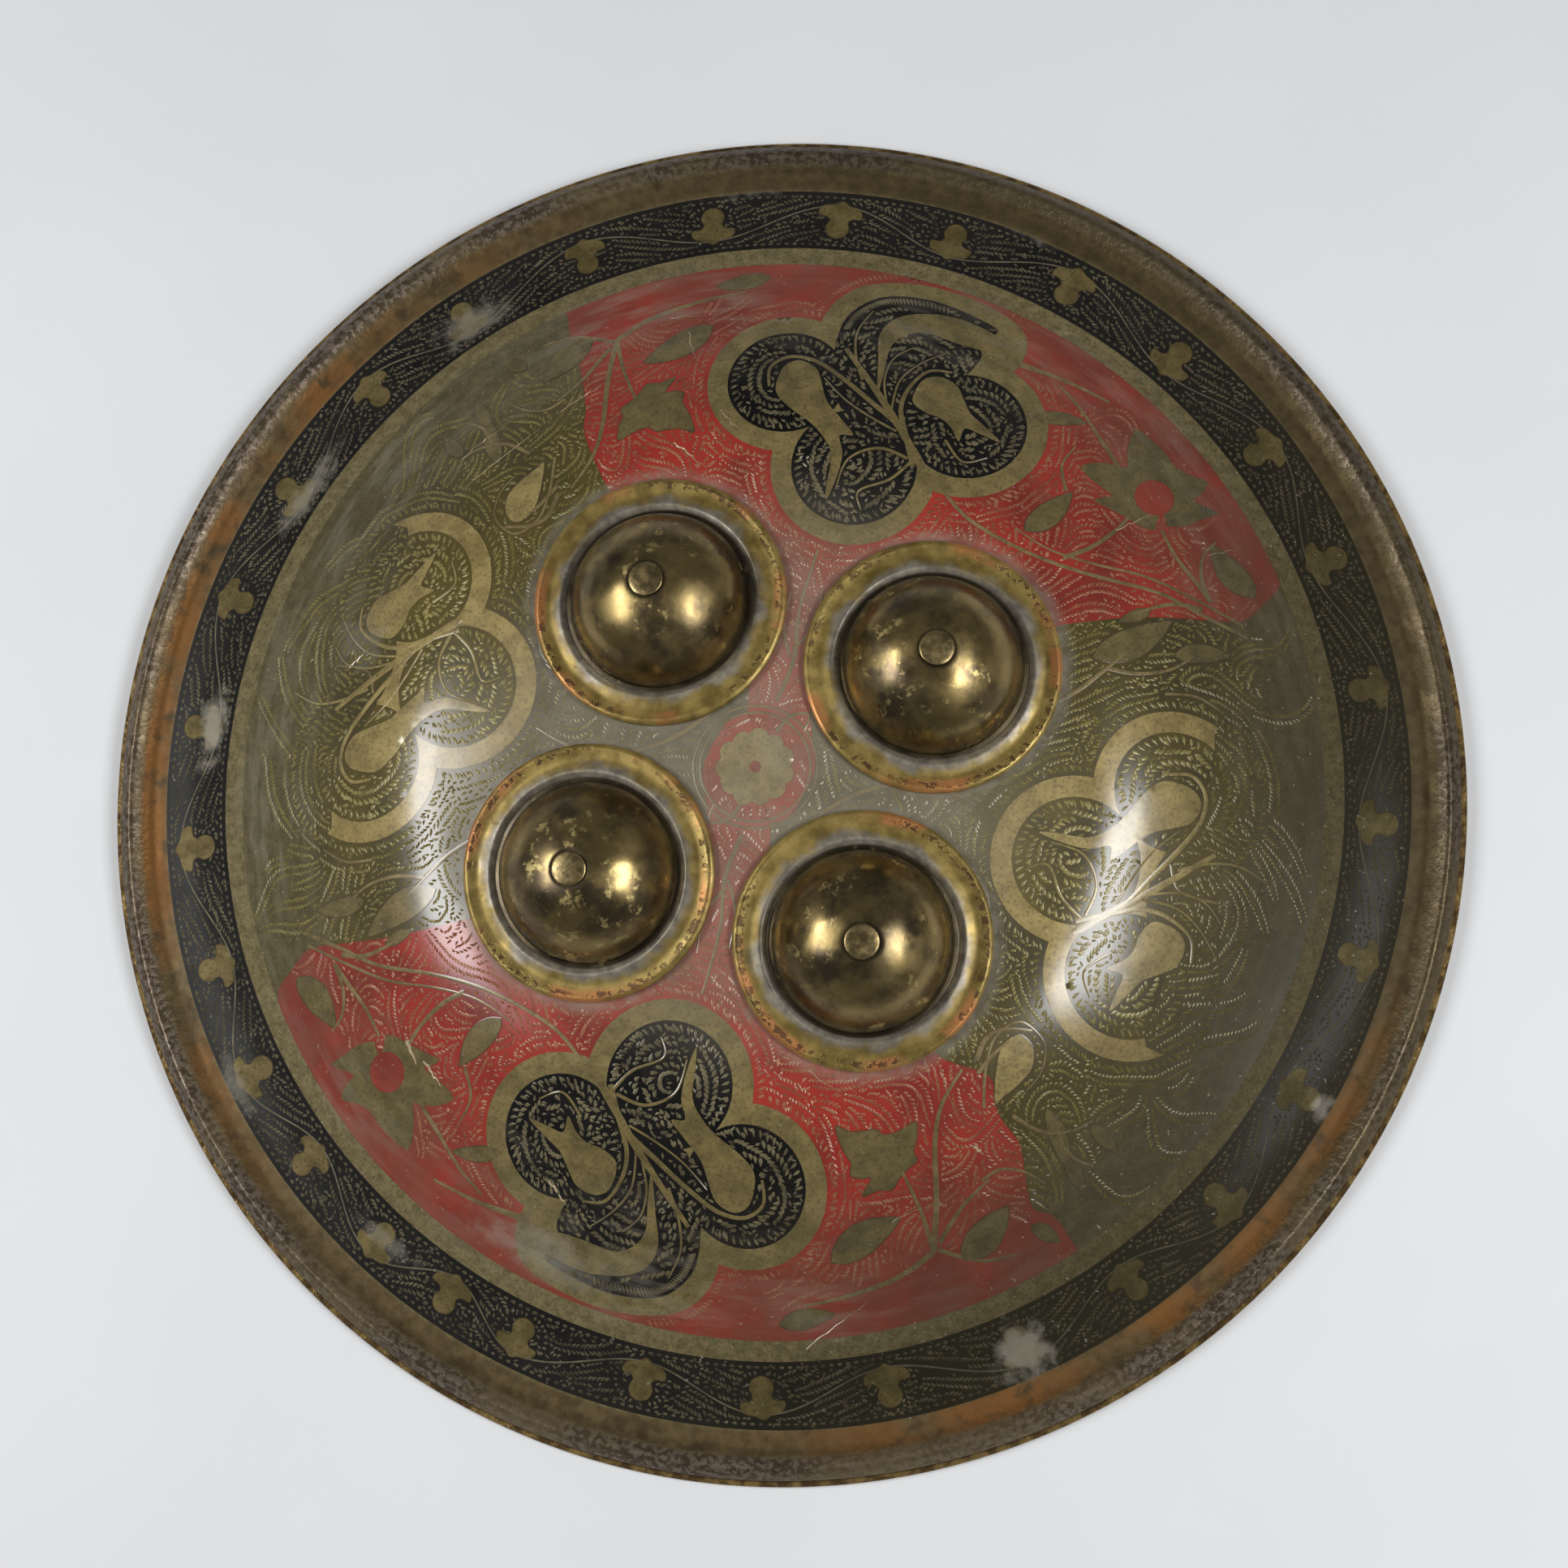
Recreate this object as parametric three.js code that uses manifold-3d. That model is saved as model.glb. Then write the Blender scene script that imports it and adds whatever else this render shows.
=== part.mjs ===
// A round buckler shield: one dished brass sheet with a swaged rim, and four domed
// bosses, each held by one rivet. It lies face up on its rim, hollow underneath.
// Millimetres, +Z up; the origin is on the ground under the middle of the shield.
import * as THREE from 'three';
import { mergeVertices } from 'three/addons/utils/BufferGeometryUtils.js';
import Module from 'manifold-3d';

// Shell.
const RIM_RADIUS = 185; // outer edge of the brass sheet
const CROWN_HEIGHT = 57; // top of the sheet's outer face above the ground
const CROWN_SPHERE = 420; // radius of the round middle, which seats the bosses
const CROWN_EDGE = 86; // where that round middle ends
const SHEET = 1.4; // thickness of the shell's sheet
const BRIM_START = 170.5; // outer edge of the painted border, where the flank ends
const BRIM_HEIGHT = 4.8;
const BRIM_SLOPE = 0.105; // fall per millimetre at the foot of the flank
const CHANNEL_RADIUS = 174; // lowest line of the shallow channel inside the ridge
const CHANNEL_HEIGHT = 4.3;
const RIDGE_RADIUS = 180.2; // crest of the half-round ridge
const RIDGE_HEIGHT = 6.9;
const RIDGE_FOOT = 183.6; // where the ridge meets the flat outer lip
const FOOT_INNER = 181.9; // inner edge of the flat foot under the lip

// Bosses, in their own frame: +Z along the boss, origin on the shell's outer face.
const BOSS_DISTANCE = 52; // from the shield's middle to each boss, over the ground
const BOSS_SHEET = 1.0;
const DOME_BASE = 23.8; // radius of the dome where it meets the groove
const DOME_TOP = 19.7; // where the full dome would end, above the shell
const GROOVE_RADIUS = 24.7;
const GROOVE_HEIGHT = 0.7;
const SEAT_RADIUS = 5.2; // flat seat for the rivet's head
const BEAD_RADIUS = 26.4; // inner bead of the flange
const BEAD_HEIGHT = 1.35;
const DISH_RADIUS = 29.3; // lowest line of the dished flange
const DISH_HEIGHT = 0.6;
const LIP_RADIUS = 32.3; // raised lip of the flange
const LIP_HEIGHT = 1.0;
const FLANGE_RADIUS = 33.5;

// Rivets, in the boss's frame.
const HEAD_RADIUS = 4.5;
const HEAD_RISE = 0.8; // the head's crown above the seat
const SHANK_RADIUS = 2.5;
const HOLE_RADIUS = 2.8;
const TAIL_RADIUS = 4.4;
const TAIL_DEPTH = 2.0;
const GAP = 0.3; // between touching pieces

// Facets.
const SHELL_FACETS = 60;
const BOSS_FACETS = 20;
const RIVET_FACETS = 12;

const BRASS = { color: 0x6e6240, roughness: 0.5, metalness: 0.9 };
const BOSS_BRASS = { color: 0x8a7440, roughness: 0.3, metalness: 1.0 };
const RIVET_BRASS = { color: 0x6a6048, roughness: 0.4, metalness: 1.0 };

const wasm = await Module();
wasm.setup();

/** Height of a sphere's face under its own top, at a distance from its axis. */
function sphereDrop(sphereRadius, distance) {
  return sphereRadius - Math.sqrt(sphereRadius ** 2 - distance ** 2);
}

/** Height of the shell's outer face on the crown and the flank. */
function faceHeight(radius) {
  if (radius <= CROWN_EDGE) {
    return CROWN_HEIGHT - sphereDrop(CROWN_SPHERE, radius);
  }
  const start = CROWN_HEIGHT - sphereDrop(CROWN_SPHERE, CROWN_EDGE);
  const startSlope = -CROWN_EDGE / Math.sqrt(CROWN_SPHERE ** 2 - CROWN_EDGE ** 2);
  const width = BRIM_START - CROWN_EDGE;
  const t = (radius - CROWN_EDGE) / width;
  return (
    start * (2 * t ** 3 - 3 * t ** 2 + 1) +
    startSlope * width * (t ** 3 - 2 * t ** 2 + t) +
    BRIM_HEIGHT * (3 * t ** 2 - 2 * t ** 3) -
    BRIM_SLOPE * width * (t ** 3 - t ** 2)
  );
}

/** Evenly spaced stations from one radius to another, both included. */
function stations(from, to, count) {
  return Array.from({ length: count }, (_, i) => from + ((to - from) * i) / (count - 1));
}

/** A profile moved sideways by a distance, towards its right-hand side. */
function offsetProfile(points, distance) {
  return points.map((point, i) => {
    const before = points[Math.max(0, i - 1)];
    const after = points[Math.min(points.length - 1, i + 1)];
    const along = after.clone().sub(before).normalize();
    return new THREE.Vector2(point.x + along.y * distance, point.y - along.x * distance);
  });
}

/** The outer face of the shell, from its middle out to the foot of the ridge. */
function shellFace() {
  const crown = stations(0, CROWN_EDGE, 5);
  const flank = stations(CROWN_EDGE, BRIM_START, 8).slice(1);
  const points = [...crown, ...flank].map((r) => new THREE.Vector2(r, faceHeight(r)));
  const swage = new THREE.SplineCurve([
    points.at(-1),
    new THREE.Vector2(CHANNEL_RADIUS, CHANNEL_HEIGHT),
    new THREE.Vector2((CHANNEL_RADIUS + RIDGE_RADIUS) / 2, (CHANNEL_HEIGHT + RIDGE_HEIGHT) / 2),
    new THREE.Vector2(RIDGE_RADIUS, RIDGE_HEIGHT),
    new THREE.Vector2(RIDGE_FOOT - 0.5, (SHEET + RIDGE_HEIGHT) / 2),
  ]);
  return [...points, ...swage.getPoints(7).slice(1)];
}

/** A closed mesh turned about Z from a profile of (radius, height) points. */
function turned(profile, facets) {
  const lathe = new THREE.LatheGeometry(profile, facets);
  lathe.rotateX(Math.PI / 2);
  return lathe;
}

/** A manifold solid made from a three.js geometry. */
function toSolid(geometry) {
  const bare = geometry.clone();
  bare.deleteAttribute('normal');
  bare.deleteAttribute('uv');
  const merged = mergeVertices(bare, 1e-4);
  const index = merged.index.array;
  const triangles = [];
  for (let i = 0; i < index.length; i += 3) {
    const [a, b, c] = [index[i], index[i + 1], index[i + 2]];
    if (a !== b && b !== c && c !== a) {
      triangles.push(a, b, c);
    }
  }
  const mesh = new wasm.Mesh({
    numProp: 3,
    vertProperties: new Float32Array(merged.attributes.position.array),
    triVerts: new Uint32Array(triangles),
  });
  return new wasm.Manifold(mesh);
}

/** A three.js geometry made from a manifold solid. */
function toGeometry(solid) {
  const mesh = solid.getMesh();
  const geometry = new THREE.BufferGeometry();
  geometry.setAttribute('position', new THREE.BufferAttribute(mesh.vertProperties, 3));
  geometry.setIndex(new THREE.BufferAttribute(mesh.triVerts, 1));
  geometry.computeVertexNormals();
  return geometry;
}

/** The place and lean of the boss at an angle round the shield, as a matrix. */
function bossFrame(angle) {
  const lean = Math.asin(BOSS_DISTANCE / CROWN_SPHERE);
  const outward = new THREE.Vector3(Math.cos(angle), Math.sin(angle), 0);
  const normal = outward.clone().multiplyScalar(Math.sin(lean));
  normal.z = Math.cos(lean);
  const place = outward.multiplyScalar(BOSS_DISTANCE);
  place.z = faceHeight(BOSS_DISTANCE);
  const turn = new THREE.Quaternion().setFromUnitVectors(new THREE.Vector3(0, 0, 1), normal);
  return new THREE.Matrix4().compose(place, turn, new THREE.Vector3(1, 1, 1));
}

/** The dished sheet with its ridge, its flat foot and the rivets' holes. */
function shellGeometry(bossFrames) {
  const face = shellFace();
  const inner = offsetProfile(face, SHEET).filter((p) => p.y > SHEET);
  inner[0].set(0, CROWN_HEIGHT - SHEET);
  const lip = [
    new THREE.Vector2(RIDGE_FOOT, SHEET),
    new THREE.Vector2(RIM_RADIUS, SHEET),
    new THREE.Vector2(RIM_RADIUS, 0),
    new THREE.Vector2(FOOT_INNER, 0),
  ];
  const profile = [...inner, ...lip.reverse(), ...face.reverse()];
  let solid = toSolid(turned(profile, SHELL_FACETS));
  for (const frame of bossFrames) {
    const drill = new THREE.CylinderGeometry(HOLE_RADIUS, HOLE_RADIUS, 12, RIVET_FACETS);
    drill.rotateX(Math.PI / 2);
    drill.applyMatrix4(frame);
    solid = solid.subtract(toSolid(drill));
  }
  return toGeometry(solid);
}

/** A hollow boss: dome, groove, dished flange and raised lip, with its rivet hole. */
function bossGeometry() {
  const rise = DOME_TOP - GROOVE_HEIGHT;
  const sphere = (DOME_BASE ** 2 + rise ** 2) / (2 * rise);
  const domeHeight = (r) => DOME_TOP - sphereDrop(sphere, r);
  const seatHeight = domeHeight(SEAT_RADIUS);
  const outer = [new THREE.Vector2(HOLE_RADIUS, seatHeight), new THREE.Vector2(SEAT_RADIUS, seatHeight)];
  const seatAngle = Math.asin(SEAT_RADIUS / sphere);
  const baseAngle = Math.asin(DOME_BASE / sphere);
  for (const angle of stations(seatAngle, baseAngle, 6).slice(1)) {
    const height = DOME_TOP - sphere + sphere * Math.cos(angle);
    outer.push(new THREE.Vector2(sphere * Math.sin(angle), height));
  }
  outer.push(
    new THREE.Vector2(GROOVE_RADIUS, GROOVE_HEIGHT - 0.2),
    new THREE.Vector2(BEAD_RADIUS, BEAD_HEIGHT),
    new THREE.Vector2(DISH_RADIUS, DISH_HEIGHT),
    new THREE.Vector2(LIP_RADIUS, LIP_HEIGHT),
  );
  const edge = GAP - sphereDrop(CROWN_SPHERE, FLANGE_RADIUS);
  const inner = offsetProfile(outer, BOSS_SHEET);
  inner[0].x = HOLE_RADIUS;
  const rim = [
    new THREE.Vector2(FLANGE_RADIUS, LIP_HEIGHT - BOSS_SHEET),
    new THREE.Vector2(FLANGE_RADIUS, edge),
    new THREE.Vector2(FLANGE_RADIUS - BOSS_SHEET, edge),
  ];
  const profile = [...inner, ...rim.reverse(), ...outer.reverse(), inner[0].clone()];
  return turned(profile, BOSS_FACETS);
}

/** A rivet: low domed head, shank through boss and shell, and peened tail. */
function rivetGeometry() {
  const rise = DOME_TOP - GROOVE_HEIGHT;
  const sphere = (DOME_BASE ** 2 + rise ** 2) / (2 * rise);
  const seat = DOME_TOP - sphereDrop(sphere, SEAT_RADIUS) + GAP;
  const tail = -SHEET - GAP;
  const profile = [
    new THREE.Vector2(0, tail - TAIL_DEPTH),
    new THREE.Vector2(TAIL_RADIUS * 0.6, tail - TAIL_DEPTH * 0.85),
    new THREE.Vector2(TAIL_RADIUS, tail - TAIL_DEPTH * 0.35),
    new THREE.Vector2(TAIL_RADIUS, tail),
    new THREE.Vector2(SHANK_RADIUS, tail),
    new THREE.Vector2(SHANK_RADIUS, seat),
    new THREE.Vector2(HEAD_RADIUS, seat),
    new THREE.Vector2(HEAD_RADIUS, seat + HEAD_RISE * 0.4),
    new THREE.Vector2(HEAD_RADIUS * 0.6, seat + HEAD_RISE * 0.85),
    new THREE.Vector2(0, seat + HEAD_RISE),
  ];
  return turned(profile, RIVET_FACETS);
}

/** A named mesh with a material of its own. */
function piece(name, geometry, look) {
  const mesh = new THREE.Mesh(geometry, new THREE.MeshStandardMaterial(look));
  mesh.name = name;
  return mesh;
}

const CORNERS = ['upper_right', 'upper_left', 'lower_left', 'lower_right'];
const frames = CORNERS.map((_, i) => bossFrame(Math.PI / 4 + (i * Math.PI) / 2));

const buckler = new THREE.Group();
buckler.add(piece('shell', shellGeometry(frames), BRASS));
CORNERS.forEach((corner, i) => {
  const boss = new THREE.Group();
  boss.applyMatrix4(frames[i]);
  boss.add(piece(`boss_${corner}`, bossGeometry(), BOSS_BRASS));
  boss.add(piece(`rivet_${corner}`, rivetGeometry(), RIVET_BRASS));
  buckler.add(boss);
});

export default buckler;
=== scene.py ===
"""Looks for the buckler shield: brass sheet, lacquer fills, engraved relief, bosses and rivets.

Sizes below are millimetres in the CAD frame (+Z up, the rim on the ground); meshes are made in metres.
The ornament is laid out flat, seen from above, and lifted onto the dished face.
"""

import math
import random

import bpy
import numpy as np
from mathutils import Matrix, Vector
from mathutils.geometry import delaunay_2d_cdt


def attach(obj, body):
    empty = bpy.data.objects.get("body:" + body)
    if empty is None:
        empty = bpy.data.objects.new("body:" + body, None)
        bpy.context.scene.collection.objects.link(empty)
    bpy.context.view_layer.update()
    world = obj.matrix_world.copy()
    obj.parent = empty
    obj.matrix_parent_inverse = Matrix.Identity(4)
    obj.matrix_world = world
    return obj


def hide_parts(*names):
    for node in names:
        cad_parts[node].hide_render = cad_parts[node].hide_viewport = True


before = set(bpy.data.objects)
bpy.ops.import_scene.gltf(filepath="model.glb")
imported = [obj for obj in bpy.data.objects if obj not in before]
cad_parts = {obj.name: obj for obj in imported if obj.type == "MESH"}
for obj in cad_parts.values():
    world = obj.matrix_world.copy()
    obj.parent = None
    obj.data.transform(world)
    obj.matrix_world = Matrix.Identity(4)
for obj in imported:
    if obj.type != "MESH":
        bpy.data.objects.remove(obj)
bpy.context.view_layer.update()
rng = random.Random(7)
METRE = 0.001
SHARP_ANGLE = math.radians(35)

# ---------------- shell sizes, as in the CAD part
RIM_RADIUS = 185
CROWN_HEIGHT = 57
CROWN_SPHERE = 420
CROWN_EDGE = 86
SHEET = 1.4
BRIM_START = 170.5
BRIM_HEIGHT = 4.8
BRIM_SLOPE = 0.105
CHANNEL = (174, 4.3)
RIDGE = (180.2, 6.9)
RIDGE_FOOT = 183.6
FOOT_INNER = 181.9

# ---------------- boss and rivet sizes, as in the CAD part
BOSS_DISTANCE = 52
BOSS_SHEET = 1
DOME_BASE = 23.8
DOME_TOP = 19.7
GROOVE = (24.7, 0.5)
SEAT_RADIUS = 5.2
FLANGE_RADIUS = 33.5
HEAD_RADIUS = 4.5
HEAD_RISE = 0.8
SHANK_RADIUS = 2.5
TAIL_RADIUS = 4.4
TAIL_DEPTH = 2
GAP = 0.3
CORNERS = {"upper_right": 45, "upper_left": 135, "lower_left": 225, "lower_right": 315}

# ---------------- ornament zones
FIELD_RADIUS = 146.5
BAND_INNER = 152
BAND_OUTER = 170
BOSS_CLEAR = 34.5
BORDER_WIDTH = 5.5
FILM_TOP = 0.05
BORDER_TOP = 0.10
GROUND_TOP = 0.14
LEAF_TOP = 0.15
RELIEF_TOP = 0.25
SUNK = 0.08
STROKE_FOOT = 0.012
STROKE_RISE = 0.2


def sphere_drop(radius, distance):
    """How far a sphere has fallen at a distance from its top."""
    return radius - np.sqrt(radius**2 - np.asarray(distance, float) ** 2)


def catmull(points, parts):
    """A smooth line through points, with a number of parts to each stretch."""
    p = np.array([points[0], *points, points[-1]], float)
    out = []
    for i in range(1, len(p) - 2):
        a, b, c, d = p[i - 1], p[i], p[i + 1], p[i + 2]
        for t in np.arange(parts) / parts:
            square, cube = 2 * a - 5 * b + 4 * c - d, 3 * b - a - 3 * c + d
            out.append(0.5 * (2 * b + (c - a) * t + square * t**2 + cube * t**3))
    out.append(p[-1])
    return np.array(out)


SWAGE = catmull(
    [
        (BRIM_START, BRIM_HEIGHT),
        CHANNEL,
        ((CHANNEL[0] + RIDGE[0]) / 2, (CHANNEL[1] + RIDGE[1]) / 2),
        RIDGE,
        (RIDGE_FOOT - 0.5, (SHEET + RIDGE[1]) / 2),
    ],
    8,
)


def waves(count, low, high, shortest, longest):
    """Random waves as (depth, length, heading, phase)."""
    spans = [(low, high), (shortest, longest), (0, math.pi), (0, 6.3)]
    return [[rng.uniform(*span) for span in spans] for _ in range(count)]


def wave_sum(waves, x, y):
    total = 0
    for depth, pitch, heading, phase in waves:
        along = x * math.cos(heading) + y * math.sin(heading)
        total = total + depth * np.sin(along * 2 * math.pi / pitch + phase)
    return total


UNEVENNESS = waves(7, 0.02, 0.045, 26, 60)


def profile_height(r):
    """Height of the shell's outer face at a distance from its axis."""
    r = np.asarray(r, float)
    crown = CROWN_HEIGHT - sphere_drop(CROWN_SPHERE, np.minimum(r, CROWN_EDGE))
    start = CROWN_HEIGHT - float(sphere_drop(CROWN_SPHERE, CROWN_EDGE))
    slope = -CROWN_EDGE / math.sqrt(CROWN_SPHERE**2 - CROWN_EDGE**2)
    width = BRIM_START - CROWN_EDGE
    t = np.clip((r - CROWN_EDGE) / width, 0, 1)
    flank = start * (2 * t**3 - 3 * t**2 + 1) + slope * width * (t**3 - 2 * t**2 + t)
    flank += BRIM_HEIGHT * (3 * t**2 - 2 * t**3) - BRIM_SLOPE * width * (t**3 - t**2)
    brim = np.interp(r, SWAGE[:, 0], SWAGE[:, 1])
    return np.where(r < CROWN_EDGE, crown, np.where(r < BRIM_START, flank, brim))


def ripple(x, y):
    """Slow unevenness of hand-raised sheet, which dies out toward the rim."""
    return wave_sum(UNEVENNESS, x, y) * np.clip((172 - np.hypot(x, y)) / 20, 0, 1)


def face_height(x, y):
    """Height of the uneven outer face over a flat place."""
    x, y = np.asarray(x, float), np.asarray(y, float)
    return profile_height(np.hypot(x, y)) + ripple(x, y)


def link(name, data):
    """A new object in the scene."""
    made = bpy.data.objects.new(name, data)
    bpy.context.scene.collection.objects.link(made)
    return made


# ---------------- mesh making
class Body:
    """Gathers closed shapes, then makes one mesh of them."""

    def __init__(self):
        self.points, self.faces, self.slots, self.count = [], [], [], 0

    def add(self, points, faces, slots=None):
        self.points.append(np.asarray(points, float))
        self.faces += [tuple(i + self.count for i in f) for f in faces]
        self.slots += slots or [0] * len(faces)
        self.count += len(points)

    def make(self, name, *materials):
        """Makes the mesh, smooth but for its sharp edges, and lets it ride on the shield."""
        mesh = bpy.data.meshes.new(name)
        mesh.from_pydata((np.concatenate(self.points) * METRE).tolist(), [], self.faces)
        for m in materials:
            mesh.materials.append(m)
        mesh.polygons.foreach_set("material_index", self.slots)
        mesh.polygons.foreach_set("use_smooth", [True] * len(self.faces))
        mesh.update()
        mesh.set_sharp_from_angle(angle=SHARP_ANGLE)
        made = link(name, mesh)
        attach(made, "root")
        return made


def lift(xy, above):
    """Flat points raised to the face, and a height above it."""
    xy = np.asarray(xy, float)
    return np.column_stack([xy, face_height(xy[:, 0], xy[:, 1]) + above])


def inside(outline, x, y):
    """Which of the points lie inside a closed outline."""
    hit = np.zeros(np.shape(x), bool)
    for (x0, y0), (x1, y1) in zip(outline, np.roll(outline, -1, axis=0)):
        if y0 != y1:
            hit ^= ((y0 > y) != (y1 > y)) & (x < (x1 - x0) * (y - y0) / (y1 - y0) + x0)
    return hit


def finer(outline, longest):
    """A closed outline with its long edges split."""
    outline = np.asarray(outline, float)
    out = []
    for a, b in zip(outline, np.roll(outline, -1, axis=0)):
        parts = max(1, math.ceil(float(np.linalg.norm(b - a)) / longest))
        out += [a + (b - a) * i / parts for i in range(parts)]
    return np.array(out)


def plate(body, adds, cuts=(), top=LEAF_TOP, grid=2.4, soft=0.02):
    """A closed plate lying on the face: the adds joined together, less the cuts."""
    loops = [finer(o, grid) for o in (*adds, *cuts)]
    xy = np.concatenate(loops)
    edges, first = [], 0
    for loop in loops:
        edges += [(first + i, first + (i + 1) % len(loop)) for i in range(len(loop))]
        first += len(loop)
    low, high = xy.min(axis=0), xy.max(axis=0)
    gx, gy = np.meshgrid(np.arange(low[0], high[0], grid), np.arange(low[1], high[1], grid))
    gx = gx + (np.arange(gx.shape[0]) % 2 * grid / 2)[:, None]
    fill = np.column_stack([gx.ravel(), gy.ravel()]) + 0.013
    flat = [Vector(p) for p in np.concatenate([xy, fill])]
    verts, _, tris, origins, _, _ = delaunay_2d_cdt(flat, edges, [], 0, 1e-4)
    xy = np.array([v[:] for v in verts])
    middles = np.array([xy[list(t)].mean(axis=0) for t in tris])
    keep = np.zeros(len(tris), bool)
    for i, loop in enumerate(loops):
        within = inside(loop, middles[:, 0], middles[:, 1])
        keep = (keep | within) if i < len(adds) else (keep & ~within)
    tris = [t for t, k in zip(tris, keep) if k]
    sides = dict.fromkeys((a, b) for t in tris for a, b in zip(t, (*t[1:], t[0])))
    walls = [(a, b) for a, b in sides if (b, a) not in sides]
    index = {v: i for i, v in enumerate(sorted({v for t in tris for v in t}))}
    xy = xy[sorted(index)]
    n = len(xy)
    height = np.full(n, top)
    height[[index[a] for a, _ in walls]] -= soft
    faces = [tuple(index[v] for v in t) for t in tris]
    faces += [tuple(index[v] + n for v in reversed(t)) for t in tris]
    faces += [(index[a] + n, index[b] + n, index[b], index[a]) for a, b in walls]
    body.add(np.concatenate([lift(xy, height), lift(xy, -SUNK)]), faces)


def ribbon_sides(line, width, start=1, end=0.15):
    """Left and right edges of a line whose width runs from start to end shares of it."""
    along = np.gradient(line, axis=0)
    along /= np.maximum(np.linalg.norm(along, axis=1), 1e-9)[:, None]
    across = np.column_stack([-along[:, 1], along[:, 0]])
    s = np.linspace(0, 1, len(line))
    half = (start + (end - start) * s**1.5)[:, None] * width / 2
    return line + across * half, line - across * half


def ribbon(body, line, width, start=1, end=0.15, top=LEAF_TOP):
    """A raised closed strip along a line, crowned along its middle."""
    left, right = ribbon_sides(line, width, start, end)
    side = top * 0.55
    rows = [lift(left, -SUNK), lift(left, side), lift(line, top), lift(right, side), lift(right, -SUNK)]
    n, m = len(line), len(rows)
    points = np.stack(rows, axis=1).reshape(-1, 3)
    faces = []
    for i in range(n - 1):
        for j in range(m):
            a, b = i * m + j, i * m + (j + 1) % m
            faces.append((a, a + m, b + m, b))
    faces.append(tuple(range(m)))
    faces.append(tuple(reversed(range((n - 1) * m, n * m))))
    body.add(points, faces)


def lathe(body, profile, turns, place=None, slots=None, lifted=False):
    """Turns a closed (radius, height) profile about its axis. Radius 0 becomes one point."""
    angles = np.arange(turns) * 2 * math.pi / turns
    points, rings = [], []
    for r, h in profile:
        if r < 1e-6:
            rings.append([len(points)] * turns)
            points.append((0, 0, h))
        else:
            rings.append(list(range(len(points), len(points) + turns)))
            points += [(r * math.cos(a), r * math.sin(a), h) for a in angles]
    points = np.array(points, float)
    if lifted:
        points[:, 2] += ripple(points[:, 0], points[:, 1])
    if place is not None:
        spin = np.array(place.to_3x3())
        points = points @ spin.T + np.array(place.translation)
    open_ended = len(set(rings[0])) == 1 and len(set(rings[-1])) == 1
    faces, kinds = [], []
    for i in range(len(profile) - 1 if open_ended else len(profile)):
        a, b = rings[i], rings[(i + 1) % len(profile)]
        for k in range(turns):
            after = (k + 1) % turns
            face = tuple(dict.fromkeys((a[k], a[after], b[after], b[k])))
            if len(face) > 2:
                faces.append(face)
                kinds.append(slots[i] if slots else 0)
    body.add(points, faces, kinds)


# ---------------- materials
def srgb(r, g, b):
    """Linear colour of an 8-bit display colour."""
    parts = [c / 255 for c in (r, g, b)]
    return tuple(c / 12.92 if c < 0.04045 else ((c + 0.055) / 1.055) ** 2.4 for c in parts) + (1,)


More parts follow.
